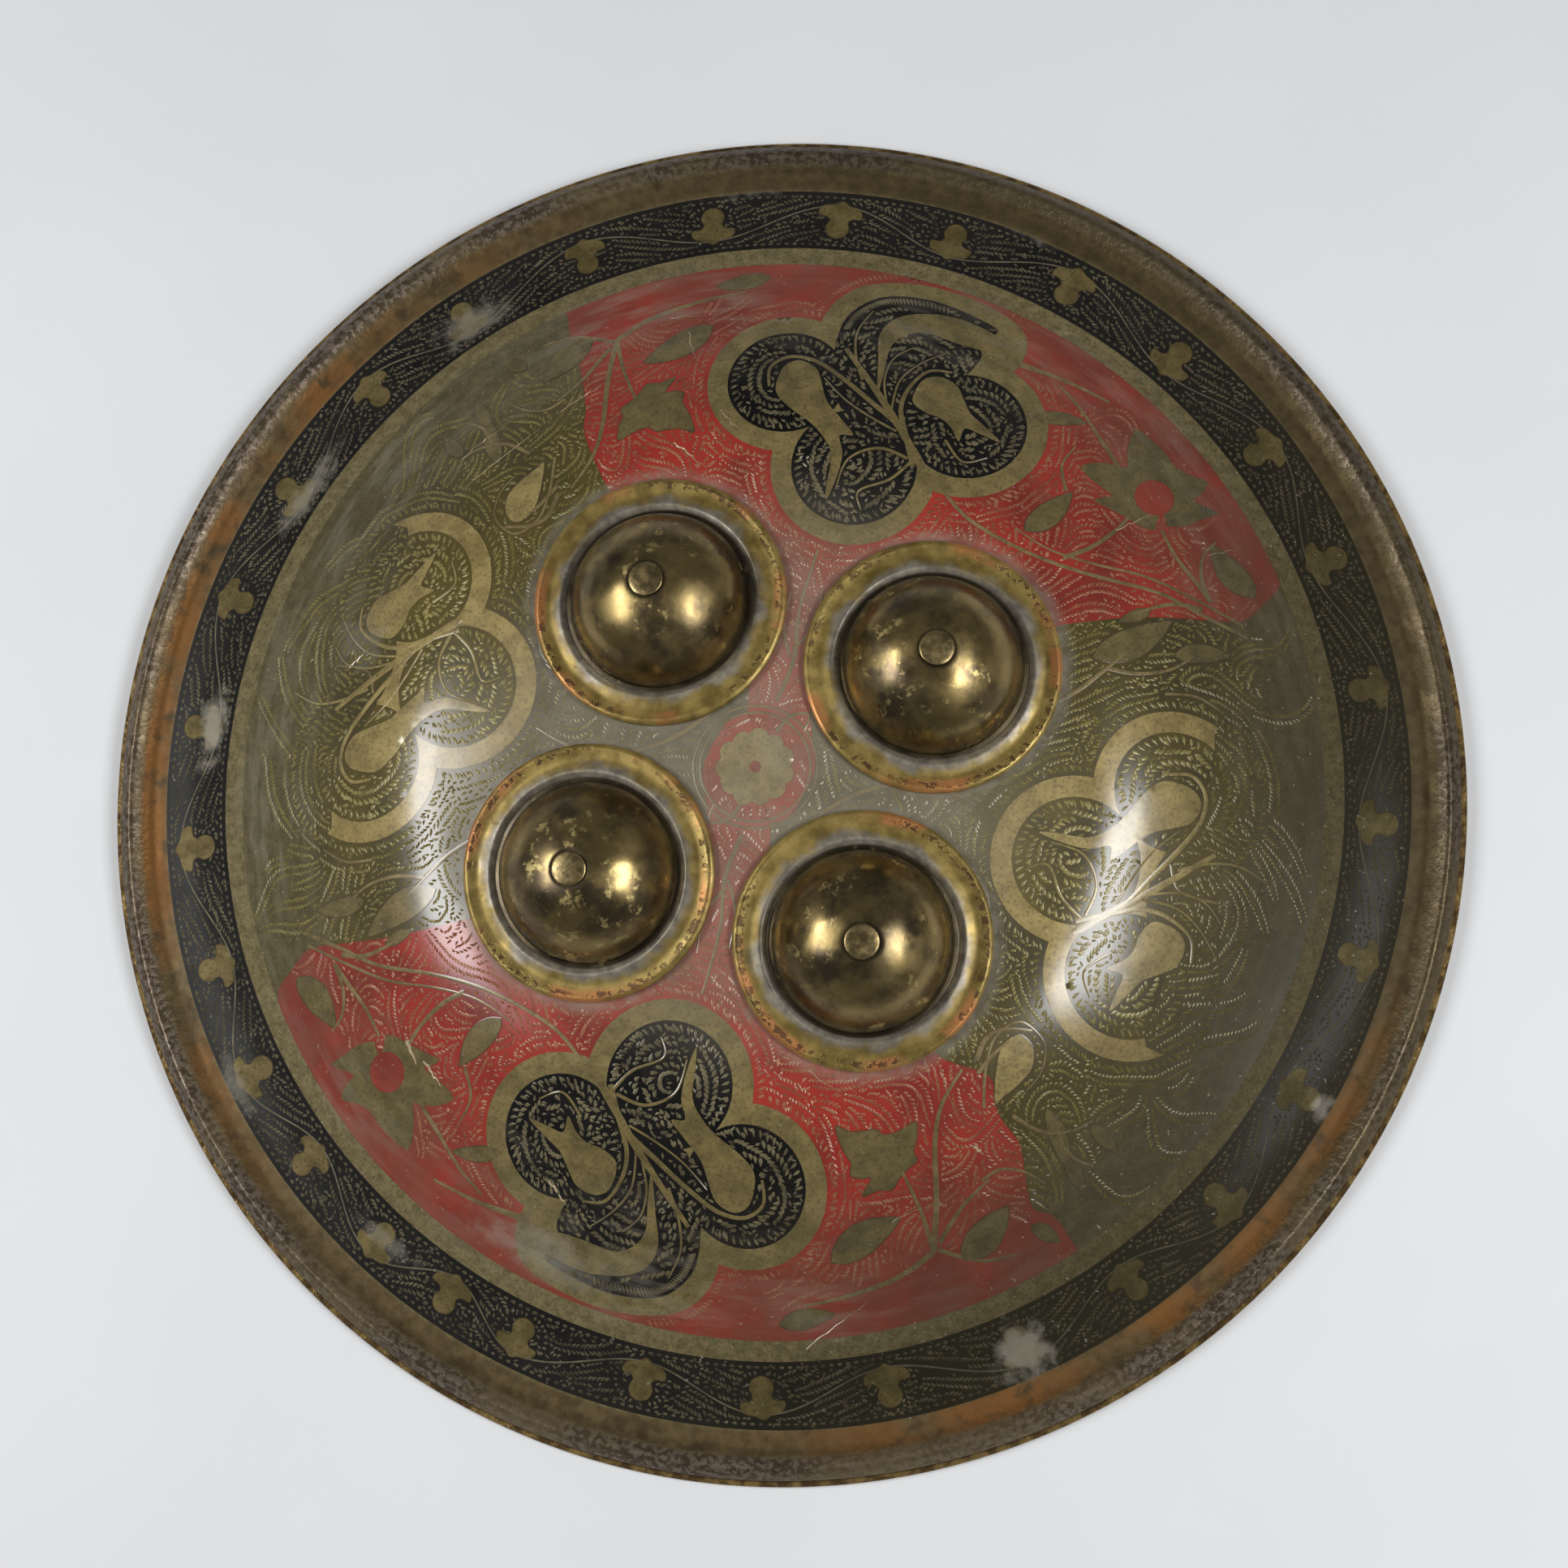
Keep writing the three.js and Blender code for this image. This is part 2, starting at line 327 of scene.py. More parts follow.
class Shade:
    """Node wiring in few words. Positions are object coordinates in millimetres."""

    def __init__(self, name):
        self.material = bpy.data.materials.new(name)
        self.material.use_nodes = True
        self.tree = self.material.node_tree
        self.tree.nodes.clear()
        place = self.add("ShaderNodeTexCoord").outputs["Object"]
        self.place = self.vector("SCALE", place, scale=1000)
        flat = self.vector("MULTIPLY", self.place, (1, 1, 0))
        self.radius = self.vector("LENGTH", flat)
        self.around = self.vector("NORMALIZE", flat)
        rise = self.add("ShaderNodeCombineXYZ", Z=self.math("MULTIPLY", self.radius, 0.35)).outputs[0]
        self.rings = self.vector("ADD", self.vector("SCALE", self.around, scale=9), rise)

    def add(self, kind, properties=None, **inputs):
        node = self.tree.nodes.new(kind)
        for key, value in (properties or {}).items():
            setattr(node, key, value)
        for key, value in inputs.items():
            self.put(node.inputs[key.replace("_", " ")], value)
        return node

    def put(self, socket, value):
        if isinstance(value, bpy.types.NodeSocket):
            self.tree.links.new(value, socket)
        else:
            socket.default_value = value

    def math(self, operation, a, b=0):
        node = self.add("ShaderNodeMath", {"operation": operation})
        for socket, value in zip(node.inputs, (a, b)):
            self.put(socket, value)
        return node.outputs[0]

    def vector(self, operation, a, b=None, scale=None):
        node = self.add("ShaderNodeVectorMath", {"operation": operation})
        self.put(node.inputs[0], a)
        if b is not None:
            self.put(node.inputs[1], b)
        if scale is not None:
            self.put(node.inputs["Scale"], scale)
        return node.outputs["Value" if operation in ("LENGTH", "DOT_PRODUCT") else "Vector"]

    def span(self, value, low, high, to_low=0, to_high=1):
        """A value's place between two limits, eased and held at both ends."""
        node = self.add("ShaderNodeMapRange", {"interpolation_type": "SMOOTHSTEP"}, Value=value)
        for socket, number in zip(list(node.inputs)[1:5], (low, high, to_low, to_high)):
            self.put(socket, number)
        return node.outputs[0]

    def noise(self, pitch, detail=3, place=None, stretch=None, rough=0.55, seed=0):
        """Cloudy noise from 0 to 1 whose lumps are about a pitch across, in millimetres."""
        place = place or self.place
        if stretch:
            place = self.vector("MULTIPLY", place, stretch)
        place = self.vector("ADD", place, (seed * 31.7, seed * 17.3, seed * 5.1))
        node = self.add("ShaderNodeTexNoise", Vector=place, Scale=1 / pitch, Detail=detail, Roughness=rough)
        return node.outputs["Fac"]

    def cloud(self, pitch, detail, low, high, to_low=0, to_high=1, **more):
        """Noise spread over a span, so that it makes patches."""
        return self.span(self.noise(pitch, detail, **more), low, high, to_low, to_high)

    def mix(self, share, a, b):
        """Colour a, with a share of colour b over it. A plain colour is three display values up to 255."""
        node = self.add("ShaderNodeMix", {"data_type": "RGBA"})
        self.put(node.inputs[0], share)
        for socket, colour in ((node.inputs[6], a), (node.inputs[7], b)):
            self.put(socket, srgb(*colour) if isinstance(colour, tuple) else colour)
        return node.outputs[2]

    def times(self, *values):
        out = values[0]
        for value in values[1:]:
            out = self.math("MULTIPLY", out, value)
        return out

    def bump(self, height, depth, below=None):
        """Shading normal of a height from 0 to 1 that stands for a depth in millimetres."""
        node = self.add("ShaderNodeBump", Height=height, Strength=1, Distance=depth * METRE)
        if below is not None:
            self.put(node.inputs["Normal"], below)
        return node.outputs[0]

    def finish(self, **inputs):
        shader = self.add("ShaderNodeBsdfPrincipled")
        for key, value in inputs.items():
            self.put(shader.inputs[key.replace("_", " ")], value)
        out = self.add("ShaderNodeOutputMaterial")
        self.tree.links.new(shader.outputs[0], out.inputs["Surface"])
        return self.material

    def from_boss(self):
        """Distance from the nearest boss's axis."""
        lean = math.asin(BOSS_DISTANCE / CROWN_SPHERE)
        side = BOSS_DISTANCE * math.sqrt(0.5)
        foot = (side, side, float(face_height(side, side)))
        tilt = math.sin(lean) * math.sqrt(0.5)
        axis = (tilt, tilt, math.cos(lean))
        away = self.vector("SUBTRACT", self.vector("ABSOLUTE", self.place), foot)
        return self.vector("LENGTH", self.vector("CROSS_PRODUCT", away, axis))


DUST = (158, 152, 138)
# Grey of old dust, also used for painted sheen.
GREY_DUST_AND_SHEEN = (146, 139, 122)
GREEN = (88, 76, 28)
GREEN_DARK = (60, 52, 19)
OLIVE_BRASS = (84, 74, 40)
BROWN = (72, 60, 42)
# Dark brown of the painted shade on one side of the outer face.
PAINTED_SHADE = (42, 37, 20)
GLOSS_ROUGHNESS = 0.21
GLOSS_IOR = 1.65
MATT = 0.06


# Pale rubbed smears: (degrees, radius, half length along, half width across, strength).
SMEARS = [
    (187, 158, 11, 4, 0.85), (161, 157, 13, 4, 0.6), (137, 159, 12, 5, 0.5), (308, 163, 8, 8, 0.6),
    (222, 168, 9, 3, 0.4), (80, 172, 12, 3, 0.45), (108, 173, 16, 4, 0.45), (243, 160, 10, 3, 0.4),
    (259, 138, 22, 6, 0.4), (344, 168, 4, 3, 0.5), (175, 116, 7, 9, 0.35),
]


def smears(s):
    """Where the pale smears are, from 0 to 1."""
    ragged = s.math("MULTIPLY", s.math("SUBTRACT", s.noise(4, 4, seed=61), 0.5), 2.2)
    total = 0
    for degrees, radius, length, width, strength in SMEARS:
        a = math.radians(degrees)
        away = s.vector("SUBTRACT", s.place, (radius * math.cos(a), radius * math.sin(a), 0))
        along = s.math("DIVIDE", s.vector("DOT_PRODUCT", away, (-math.sin(a), math.cos(a), 0)), length)
        across = s.math("DIVIDE", s.vector("DOT_PRODUCT", away, (math.cos(a), math.sin(a), 0)), width)
        size = s.math("SQRT", s.math("ADD", s.times(along, along), s.times(across, across)))
        spot = s.span(s.math("ADD", size, ragged), 1.25, 0.2, 0, strength * 0.75)
        total = s.math("MAXIMUM", total, spot)
    return total


def toward(s, x, y):
    """Rises from 0 at the middle to 1 near the rim, on the side that (x, y) points to."""
    return s.span(s.vector("DOT_PRODUCT", s.place, (x, y, 0)), 0, 140)


def dust_and_painted_light(s, colour, strength=1, smeared=True):
    """Old dust and painted light over a colour: grey dust rings round the flanges; a streaky grey veil over
    the outer field, part dust and part painted sheen; a painted sheen over the middle; painted shade
    darkening the outer face toward +x; pale smears and specks of dust.
    """
    boss = s.from_boss()
    collar = s.times(s.span(boss, 31, 33.5), s.span(boss, 38.5, 33.8), s.cloud(4, 3, 0.3, 0.7, 0.3, 0.7))
    # Painted shade: the outer face is painted darker brown on the side toward +x, and the veil is mostly kept
    # off that side.
    painted_shade_side = toward(s, 0.97, -0.2)
    # A streaky grey veil over the outer field: part dust, part painted sheen of grazing glare; it is kept off
    # the painted-shade side.
    veil = s.times(s.span(s.radius, 104, 140), s.span(s.radius, 152, 143), 0.5)
    veil = s.times(veil, s.math("SUBTRACT", 1, s.times(painted_shade_side, 0.85)))
    # Painted sheen: a cloudy grey veil over the middle of the face stands for the lamps' broad glare there.
    centre_sheen = s.times(s.span(s.radius, 88, 40), s.cloud(11, 3, 0.3, 0.7, 0.42, 0.68, seed=15))
    streak = s.cloud(1.1, 3, 0.40, 0.68, place=s.rings, seed=2)
    cloud = s.cloud(34, 3, 0.35, 0.7, 0.25, 1, seed=5)
    share = s.math("MAXIMUM", s.math("MAXIMUM", s.times(veil, streak, cloud), centre_sheen), collar)
    # painted shade toward +x
    out = s.mix(s.times(s.span(s.radius, 85, 140), painted_shade_side, 0.62), colour, PAINTED_SHADE)
    out = s.mix(s.times(share, strength), out, GREY_DUST_AND_SHEEN)
    if smeared:
        out = s.mix(smears(s), out, DUST)
    specks = s.cloud(1.3, 2, 0.70, 0.74, seed=9)
    return s.mix(s.times(specks, 0.6 * strength), out, DUST)


def shell_brass():
    """Outer face: green lacquer on the field, bare ring, orange channel and pitted grey ridge, with painted
    shade on one side of the rim; dust, painted sheen and painted shade lie over them.
    """
    s = Shade("shell_brass")
    broad, fine = s.noise(45, 4, seed=1), s.noise(3, 5, seed=3)
    green = s.mix(s.span(broad, 0.3, 0.7), GREEN_DARK, GREEN)
    worn = s.mix(s.span(fine, 0.3, 0.7), (80, 73, 44), (100, 90, 58))
    green = s.mix(s.times(s.span(s.radius, 112, 138), s.span(broad, 0.25, 0.6, 0.4, 1)), green, worn)
    brass = s.mix(s.span(fine, 0.3, 0.7), (102, 92, 64), (126, 114, 82))
    field = s.span(s.radius, FIELD_RADIUS + 0.2, FIELD_RADIUS - 0.2)
    colour = s.mix(field, brass, green)
    colour = s.mix(s.cloud(0.9, 3, 0.44, 0.66, 0, 0.4, seed=16), colour, (52, 46, 26))
    # Dust over the colour, with a painted sheen over the middle and painted shade toward +x.
    colour = dust_and_painted_light(s, colour)
    left = s.span(s.vector("DOT_PRODUCT", s.around, (-1, 0, 0)), 0.5, 0.95)
    right = s.span(s.vector("DOT_PRODUCT", s.around, (0.77, -0.64, 0)), 0.72, 0.97)
    worn = s.times(s.math("MAXIMUM", left, right), s.cloud(24, 4, 0.32, 0.6, seed=8))
    brown = s.mix(s.span(fine, 0.3, 0.7), (78, 66, 44), (98, 84, 58))
    copper = s.mix(worn, brown, (116, 80, 44))
    copper = s.mix(s.cloud(6, 5, 0.52, 0.72, seed=4), copper, BROWN)
    channel = s.times(s.span(s.radius, 168.5, 171.5), s.span(s.radius, 178.5, 176))
    colour = s.mix(channel, colour, copper)
    pits = s.cloud(1.6, 3, 0.42, 0.6, seed=6)
    ridge = s.mix(pits, (74, 63, 51), (112, 100, 87))
    ridge = s.mix(s.cloud(30, 4, 0.4, 0.65, 0, 0.7, seed=7), ridge, (112, 98, 72))
    colour = s.mix(s.span(s.radius, 176, 178.5), colour, ridge)
    # Painted shade: the channel, ridge and edge are painted darker on the side toward +x+y.
    outside = s.times(s.span(s.radius, 169, 171), toward(s, 0.7, 0.7), 0.42)
    colour = s.mix(outside, colour, PAINTED_SHADE)
    edge = s.mix(s.cloud(4, 4, 0.4, 0.6, seed=11), (84, 66, 42), (132, 110, 68))
    colour = s.mix(s.span(s.radius, 183.2, 183.8), colour, edge)
    rough = s.cloud(7, 4, 0.3, 0.7, 0.38, 0.54, seed=12)
    rough = s.math("SUBTRACT", rough, s.times(s.span(s.radius, 176, 178.5), 0.1))
    scored = s.noise(0.25, 3, s.rings, seed=13)
    outer = s.span(s.radius, 170, 177)
    height = s.math("ADD", s.times(s.noise(2.2, 4, seed=14), 0.5), s.times(scored, 0.2))
    height = s.math("ADD", height, s.times(outer, pits, 0.6))
    return s.finish(
        Base_Color=colour,
        Metallic=s.math("ADD", 0.08, s.times(outer, 0.4)),
        Coat_Weight=field,
        Coat_Roughness=GLOSS_ROUGHNESS,
        Coat_IOR=GLOSS_IOR,
        Specular_IOR_Level=MATT,
        Roughness=rough,
        Normal=s.bump(height, 0.08),
    )


def back_brass():
    """Underside: plain hammered sheet, brown with age."""
    s = Shade("back_brass")
    colour = s.mix(s.cloud(28, 5, 0.3, 0.7, seed=1), (70, 58, 38), (118, 100, 62))
    colour = s.mix(s.cloud(5, 5, 0.5, 0.7, seed=2), colour, (62, 52, 42))
    dents = s.noise(13, 1, seed=3)
    return s.finish(
        Base_Color=colour,
        Metallic=0.75,
        Roughness=s.cloud(9, 4, 0.3, 0.7, 0.38, 0.6, seed=4),
        Normal=s.bump(s.noise(1.5, 4), 0.05, s.bump(dents, 0.9)),
    )


def boss_brass():
    """Domes with cloudy tarnish and rubbed flecks; flanges grey inside, olive outside, coppery at the lip."""
    s = Shade("boss_brass")
    away = s.from_boss()
    tarnish = s.cloud(13, 5, 0.40, 0.62, seed=21, rough=0.62)
    colour = s.mix(tarnish, (138, 120, 78), (98, 85, 60))
    dark = s.cloud(15, 4, 0.52, 0.66, seed=22, rough=0.6)
    colour = s.mix(s.times(dark, 0.8), colour, (74, 64, 54))
    flecks = s.times(s.cloud(4.5, 6, 0.56, 0.64, seed=29, rough=0.7), s.cloud(17, 2, 0.45, 0.6, seed=30))
    colour = s.mix(s.times(flecks, 0.8), colour, (196, 176, 118))
    flange = s.span(away, 24.2, 25)
    grey = s.mix(s.cloud(3, 4, 0.3, 0.7, seed=23), (112, 106, 96), (150, 142, 126))
    olive = s.mix(s.cloud(5, 4, 0.3, 0.7, seed=33), (112, 94, 44), (156, 134, 74))
    outward = s.span(s.math("ADD", away, s.times(s.noise(9, 4, seed=34), 9)), 30.5, 33.5)
    plain = s.mix(outward, grey, olive)
    lip = s.times(s.span(away, 29.6, 31.2), s.cloud(22, 4, 0.50, 0.64, seed=24))
    plain = s.mix(lip, plain, (176, 120, 70))
    colour = s.mix(flange, colour, plain)
    # Darker band in the groove round the dome's foot.
    groove_dark = s.times(s.span(away, 23.3, 24.1), s.span(away, 25.2, 24.5))
    colour = s.mix(s.times(groove_dark, 0.85), colour, (52, 46, 38))
    ring = s.times(s.span(away, 4.2, 4.6), s.span(away, 5.6, 4.9))
    colour = s.mix(s.times(ring, 0.7), colour, (60, 52, 42))
    nibble = s.times(s.cloud(1.8, 2, 0.5, 0.56, seed=25), s.span(away, 30.4, 31.2), s.span(away, 33, 32.2))
    nibble = s.times(nibble, s.cloud(24, 3, 0.44, 0.54, seed=35))
    colour = s.mix(s.times(nibble, 0.75), colour, (70, 44, 30))
    rough = s.cloud(9, 5, 0.35, 0.65, 0.20, 0.38, seed=26)
    rough = s.math("ADD", rough, s.times(flange, 0.14))
    rough = s.math("ADD", rough, s.times(flecks, 0.15))
    scratch = s.noise(0.9, 2, stretch=(1, 0.12, 0.4), seed=27)
    height = s.math("ADD", s.times(s.noise(3, 4, seed=28), 0.35), s.times(scratch, 0.25))
    height = s.math("SUBTRACT", height, s.times(nibble, 2))
    return s.finish(
        Base_Color=colour,
        Metallic=s.math("SUBTRACT", 0.92, s.times(flange, 0.35)),
        Roughness=rough,
        Normal=s.bump(height, 0.05, s.bump(s.noise(18, 1), 0.25)),
    )


RED_DARK = (116, 34, 25)
RED_BRIGHT = (154, 44, 30)
RED_WORN = (118, 62, 46)
BLACK_DEEP = (15, 15, 15)
BLACK_GREY = (26, 25, 24)
BLACK_WORN = (34, 33, 30)


def lacquer(name, deep, bright, worn, gloss=0.9):
    """Old coloured lacquer: uneven, dulled outward, rubbed thin in patches, with pinprick chips."""
    s = Shade(name)
    colour = s.mix(s.cloud(20, 4, 0.32, 0.62, seed=41), deep, bright)
    rubbed = s.times(s.cloud(9, 6, 0.50, 0.72, seed=42, rough=0.65), 0.7)
    outward = s.times(s.span(s.radius, 105, 140), s.cloud(14, 4, 0.3, 0.6, 0.3, 0.8, seed=44))
    colour = s.mix(s.math("MAXIMUM", rubbed, outward), colour, worn)
    # Dust over the colour, with a painted sheen over the middle and painted shade toward +x.
    colour = dust_and_painted_light(s, colour, 0.8)
    scored = s.noise(0.25, 3, s.rings, seed=13)
    height = s.math("ADD", s.times(s.noise(1.2, 4, seed=45), 0.6), s.times(scored, 0.2))
    return s.finish(
        Base_Color=colour,
        Metallic=0,
        Roughness=s.cloud(7, 4, 0.3, 0.7, 0.45, 0.6, seed=46),
        Specular_IOR_Level=MATT,
        Coat_Weight=gloss,
        Coat_Roughness=GLOSS_ROUGHNESS,
        Coat_IOR=GLOSS_IOR,
        Normal=s.bump(height, 0.05),
    )


def bare_brass(name, dark, light, smeared=True, gloss=1):
    """Brass left bare in the ornament, dulled and dusty, with painted sheen and painted shade."""
    s = Shade(name)
    colour = s.mix(s.cloud(6, 5, 0.3, 0.7, seed=51), dark, light)
    colour = s.mix(s.cloud(1, 3, 0.48, 0.68, 0, 0.45, seed=54), colour, (62, 50, 32))
    # Dust over the colour, with a painted sheen over the middle and painted shade toward +x.
    colour = dust_and_painted_light(s, colour, 0.8, smeared)
    return s.finish(
        Base_Color=colour,
        Metallic=0.2,
        Roughness=s.cloud(5, 4, 0.3, 0.7, 0.42, 0.58, seed=52),
        Specular_IOR_Level=MATT,
        Coat_Weight=s.span(s.radius, 151, 147, 0, gloss),
        Coat_Roughness=GLOSS_ROUGHNESS,
        Coat_IOR=GLOSS_IOR,
        Normal=s.bump(s.noise(1.4, 4, seed=53), 0.05),
    )


def rivet_brass():
    s = Shade("rivet_brass")
    colour = s.mix(s.cloud(2.5, 4, 0.35, 0.65, seed=31), (112, 98, 66), (150, 132, 92))
    return s.finish(
        Base_Color=colour,
        Metallic=0.9,
        Roughness=s.cloud(2, 3, 0.3, 0.7, 0.25, 0.45, seed=32),
        Normal=s.bump(s.noise(1.2, 3, seed=33), 0.06),
    )


def floor_paint():
    s = Shade("floor_paint")
    colour = s.mix(s.cloud(90, 4, 0.3, 0.7, 0, 0.15), (225, 226, 227), (206, 207, 208))
    return s.finish(Base_Color=colour, Roughness=0.6, Normal=s.bump(s.noise(6, 3), 0.05))


# ---------------- metalwork
SHELL_TURNS, BOSS_TURNS, RIVET_TURNS = 288, 96, 40


def offset(profile, distance):
    """A profile moved to its right-hand side."""
    along = np.gradient(profile, axis=0)
    along /= np.linalg.norm(along, axis=1)[:, None]
    return profile + np.column_stack([along[:, 1], -along[:, 0]]) * distance


def make_shell():
    """The dished sheet, finely turned, with the CAD part's sections."""
    radii = np.concatenate([np.linspace(0, CROWN_EDGE, 44), np.linspace(CROWN_EDGE, BRIM_START, 46)[1:]])
    face = np.column_stack([radii, profile_height(radii)])
    face = np.concatenate([face, SWAGE[1:]])
    under = offset(face, SHEET)
    under = under[under[:, 1] > SHEET]
    under[0] = (0, CROWN_HEIGHT - SHEET)
    lip = [
        (RIDGE_FOOT - 0.2, SHEET + 0.6),
        (RIDGE_FOOT + 0.1, SHEET),
        (RIM_RADIUS - 0.3, SHEET),
        (RIM_RADIUS, SHEET - 0.3),
        (RIM_RADIUS, 0.25),
        (RIM_RADIUS - 0.25, 0),
        (FOOT_INNER, 0),
    ]
    profile = [*face, *lip, *under[::-1]]
    back_from = len(face) + len(lip) - 2
    body = Body()
    lathe(body, profile, SHELL_TURNS, slots=[int(i >= back_from) for i in range(len(profile))], lifted=True)
    made = body.make("shell_sheet", shell_brass(), back_brass())
    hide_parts("shell")


def boss_place(angle):
    """The place and lean of the boss at an angle round the shield."""
    lean = math.asin(BOSS_DISTANCE / CROWN_SPHERE)
    a = math.radians(angle)
    turn = Matrix.Rotation(a, 4, "Z") @ Matrix.Rotation(lean, 4, "Y") @ Matrix.Rotation(-a, 4, "Z")
    foot = (BOSS_DISTANCE * math.cos(a), BOSS_DISTANCE * math.sin(a), float(profile_height(BOSS_DISTANCE)))
    return Matrix.Translation(foot) @ turn


DOME_FOOT = 0.7
DOME_RISE = DOME_TOP - DOME_FOOT
DOME_SPHERE = (DOME_BASE**2 + DOME_RISE**2) / (2 * DOME_RISE)
FLANGE = [(25.5, 1), (26.4, 1.35), (27.6, 1.05), (29.3, 0.6), (31, 0.72), (32.3, 1)]


def make_boss(corner, place, material):
    """A hollow dome with a groove round it and a dished flange."""
    dome = []
    for a in np.linspace(math.asin(SEAT_RADIUS / DOME_SPHERE), math.asin(DOME_BASE / DOME_SPHERE), 30):
        dome.append((DOME_SPHERE * math.sin(a), DOME_TOP - DOME_SPHERE + DOME_SPHERE * math.cos(a)))
    seat = dome[0][1]
    flange = catmull([GROOVE, *FLANGE], 3)
    outer = [(SHANK_RADIUS + GAP, seat - 0.1), (4.9, seat - 0.02), *dome, (DOME_BASE + 0.4, 0.62), *flange]
    inner = offset(np.array(outer), BOSS_SHEET)
    inner[0] = (SHANK_RADIUS + GAP, seat - BOSS_SHEET)
    edge = GAP - float(sphere_drop(CROWN_SPHERE, FLANGE_RADIUS))
    rim = [(33, 0.75), (FLANGE_RADIUS, 0.2), (FLANGE_RADIUS, edge), (FLANGE_RADIUS - BOSS_SHEET, edge)]
    body = Body()
    lathe(body, [*outer, *rim, *inner[::-1]], BOSS_TURNS, place)
    made = body.make(f"boss_{corner}_turned", material)
    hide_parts(f"boss_{corner}")


def make_rivet(corner, place, material):
    """A low head on the dome, a shank, and a peened tail behind the shell."""
    seat = DOME_TOP - float(sphere_drop(DOME_SPHERE, SEAT_RADIUS)) + GAP
    tail = -SHEET - GAP
    head, foot = [], []
    for a in np.linspace(0, 1.5, 9):
        head.append((HEAD_RADIUS * math.sin(a), seat + 0.2 + (HEAD_RISE - 0.25) * math.cos(a)))
        foot.append((TAIL_RADIUS * math.sin(a), tail - 0.5 - (TAIL_DEPTH - 0.55) * math.cos(a)))
    shank = [(HEAD_RADIUS, seat), (SHANK_RADIUS, seat), (SHANK_RADIUS, tail), (TAIL_RADIUS, tail)]
    profile = [*head, *shank, *reversed(foot)]
    body = Body()
    lathe(body, profile, RIVET_TURNS, place)
    made = body.make(f"rivet_{corner}_turned", material)
    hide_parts(f"rivet_{corner}")


make_shell()
domes, rivets = boss_brass(), rivet_brass()
for corner, angle in CORNERS.items():
    make_boss(corner, boss_place(angle), domes)
    make_rivet(corner, boss_place(angle), rivets)


# ---------------- ornament: outlines
def turn(points, degrees):
    """Points turned about the shield's axis."""
    a = math.radians(degrees)
    return np.asarray(points, float) @ np.array([[math.cos(a), math.sin(a)], [-math.sin(a), math.cos(a)]])


def disc(x, y, radius, parts=64):
    a = np.arange(parts) * 2 * math.pi / parts
    return np.column_stack([x + radius * np.cos(a), y + radius * np.sin(a)])


def round_outline(points, parts=4):
    """A closed outline that runs smoothly through its points."""
    line = catmull([points[-1], *points, points[0], points[1]], parts)
    return line[parts : parts + len(points) * parts]


def leaf(base, tip, width, bend=0, parts=14):
    """Outline of a pointed leaf."""
    base, tip = np.array(base, float), np.array(tip, float)
    s = np.linspace(0, 1, parts)[:, None]
    across = np.array([-(tip - base)[1], (tip - base)[0]]) / np.linalg.norm(tip - base)
    middle = base + (tip - base) * s + across * bend * 4 * s * (1 - s)
    half = width / 2 * np.sin(math.pi * s**0.8) ** 0.85
    return np.concatenate([middle + across * half, (middle - across * half)[-2:0:-1]])


# ---------------- ornament: what is where
CELL = 0.25
REACH = 172
SIDE = int(2 * REACH / CELL) + 2
NOWHERE, RED, GREEN_FIELD, BLACK, OLIVE, BAND = range(6)
zone = np.zeros((SIDE, SIDE), np.uint8)
taken = np.zeros((SIDE, SIDE), bool)


def cell(v):
    """The grid's row or column at a place."""
    return int((v + REACH) / CELL)


def paint(grid, outline, value):
    """Gives a value to the grid's cells inside an outline."""
    low = np.maximum(((outline.min(axis=0) + REACH) / CELL).astype(int) - 1, 0)
    high = np.minimum(((outline.max(axis=0) + REACH) / CELL).astype(int) + 2, SIDE)
    xs = (np.arange(low[0], high[0]) + 0.5) * CELL - REACH
    ys = (np.arange(low[1], high[1]) + 0.5) * CELL - REACH
    gx, gy = np.meshgrid(xs, ys)
    view = grid[low[1] : high[1], low[0] : high[0]]
    view[inside(outline, gx, gy)] = value


# Half of each field's outline; the other half is the same, turned half round.
RED_FIELD = [
    (-118, -85), (-112, -74), (-107, -71), (-100, -69), (-90, -66), (-82, -63), (-75, -60), (-60, -52),
    (-36, -30), (-14, -26), (-9, -20), (-11, -12), (-14, -4), (-13, 4), (-9, 12), (3, 14), (6, 6), (2, -3),
    (6, -11), (8, -20), (12, -30), (36, -34), (56, -50), (62, -60), (76, -62), (80, -70), (87, -76),
    (89, -80), (94, -91), (100, -92), (107, -98),
]
# The upper field stops shorter on one side than the lower one.
UPPER_FIELD = RED_FIELD[:23] + [
    (56, -60), (61, -66), (66, -72), (71, -79), (73, -86), (77, -94), (81, -101), (86, -108), (89, -114),
]
LOBES = [(3, 84.5, 16.5), (28, 104, 16), (-21.5, 104.8, 15.8)]
OUTER_LOBE = [
    (-12, 116), (-12.8, 126), (-11, 132), (-6, 137.5), (1, 140), (10, 140.6), (20, 139), (28, 136),
    (24, 131), (26, 126), (22, 116), (10, 100), (-5, 100),
]
OUTER_BORDER = [
    (-17.8, 115), (-18.4, 127), (-16, 135), (-10, 141), (0, 144.4), (12, 145), (24, 143), (34, 138.5),
    (37, 131), (34, 122), (22, 112), (10, 100), (-5, 100),
]


# The green palmettes' outer side is rubbed away beyond this outline.
WORN_SIDE = [
    (-42, 112), (-30, 113), (-14, 109), (2, 104), (14, 106),
    (26, 113), (44, 113), (36, 134), (0, 141), (-36, 134),
]


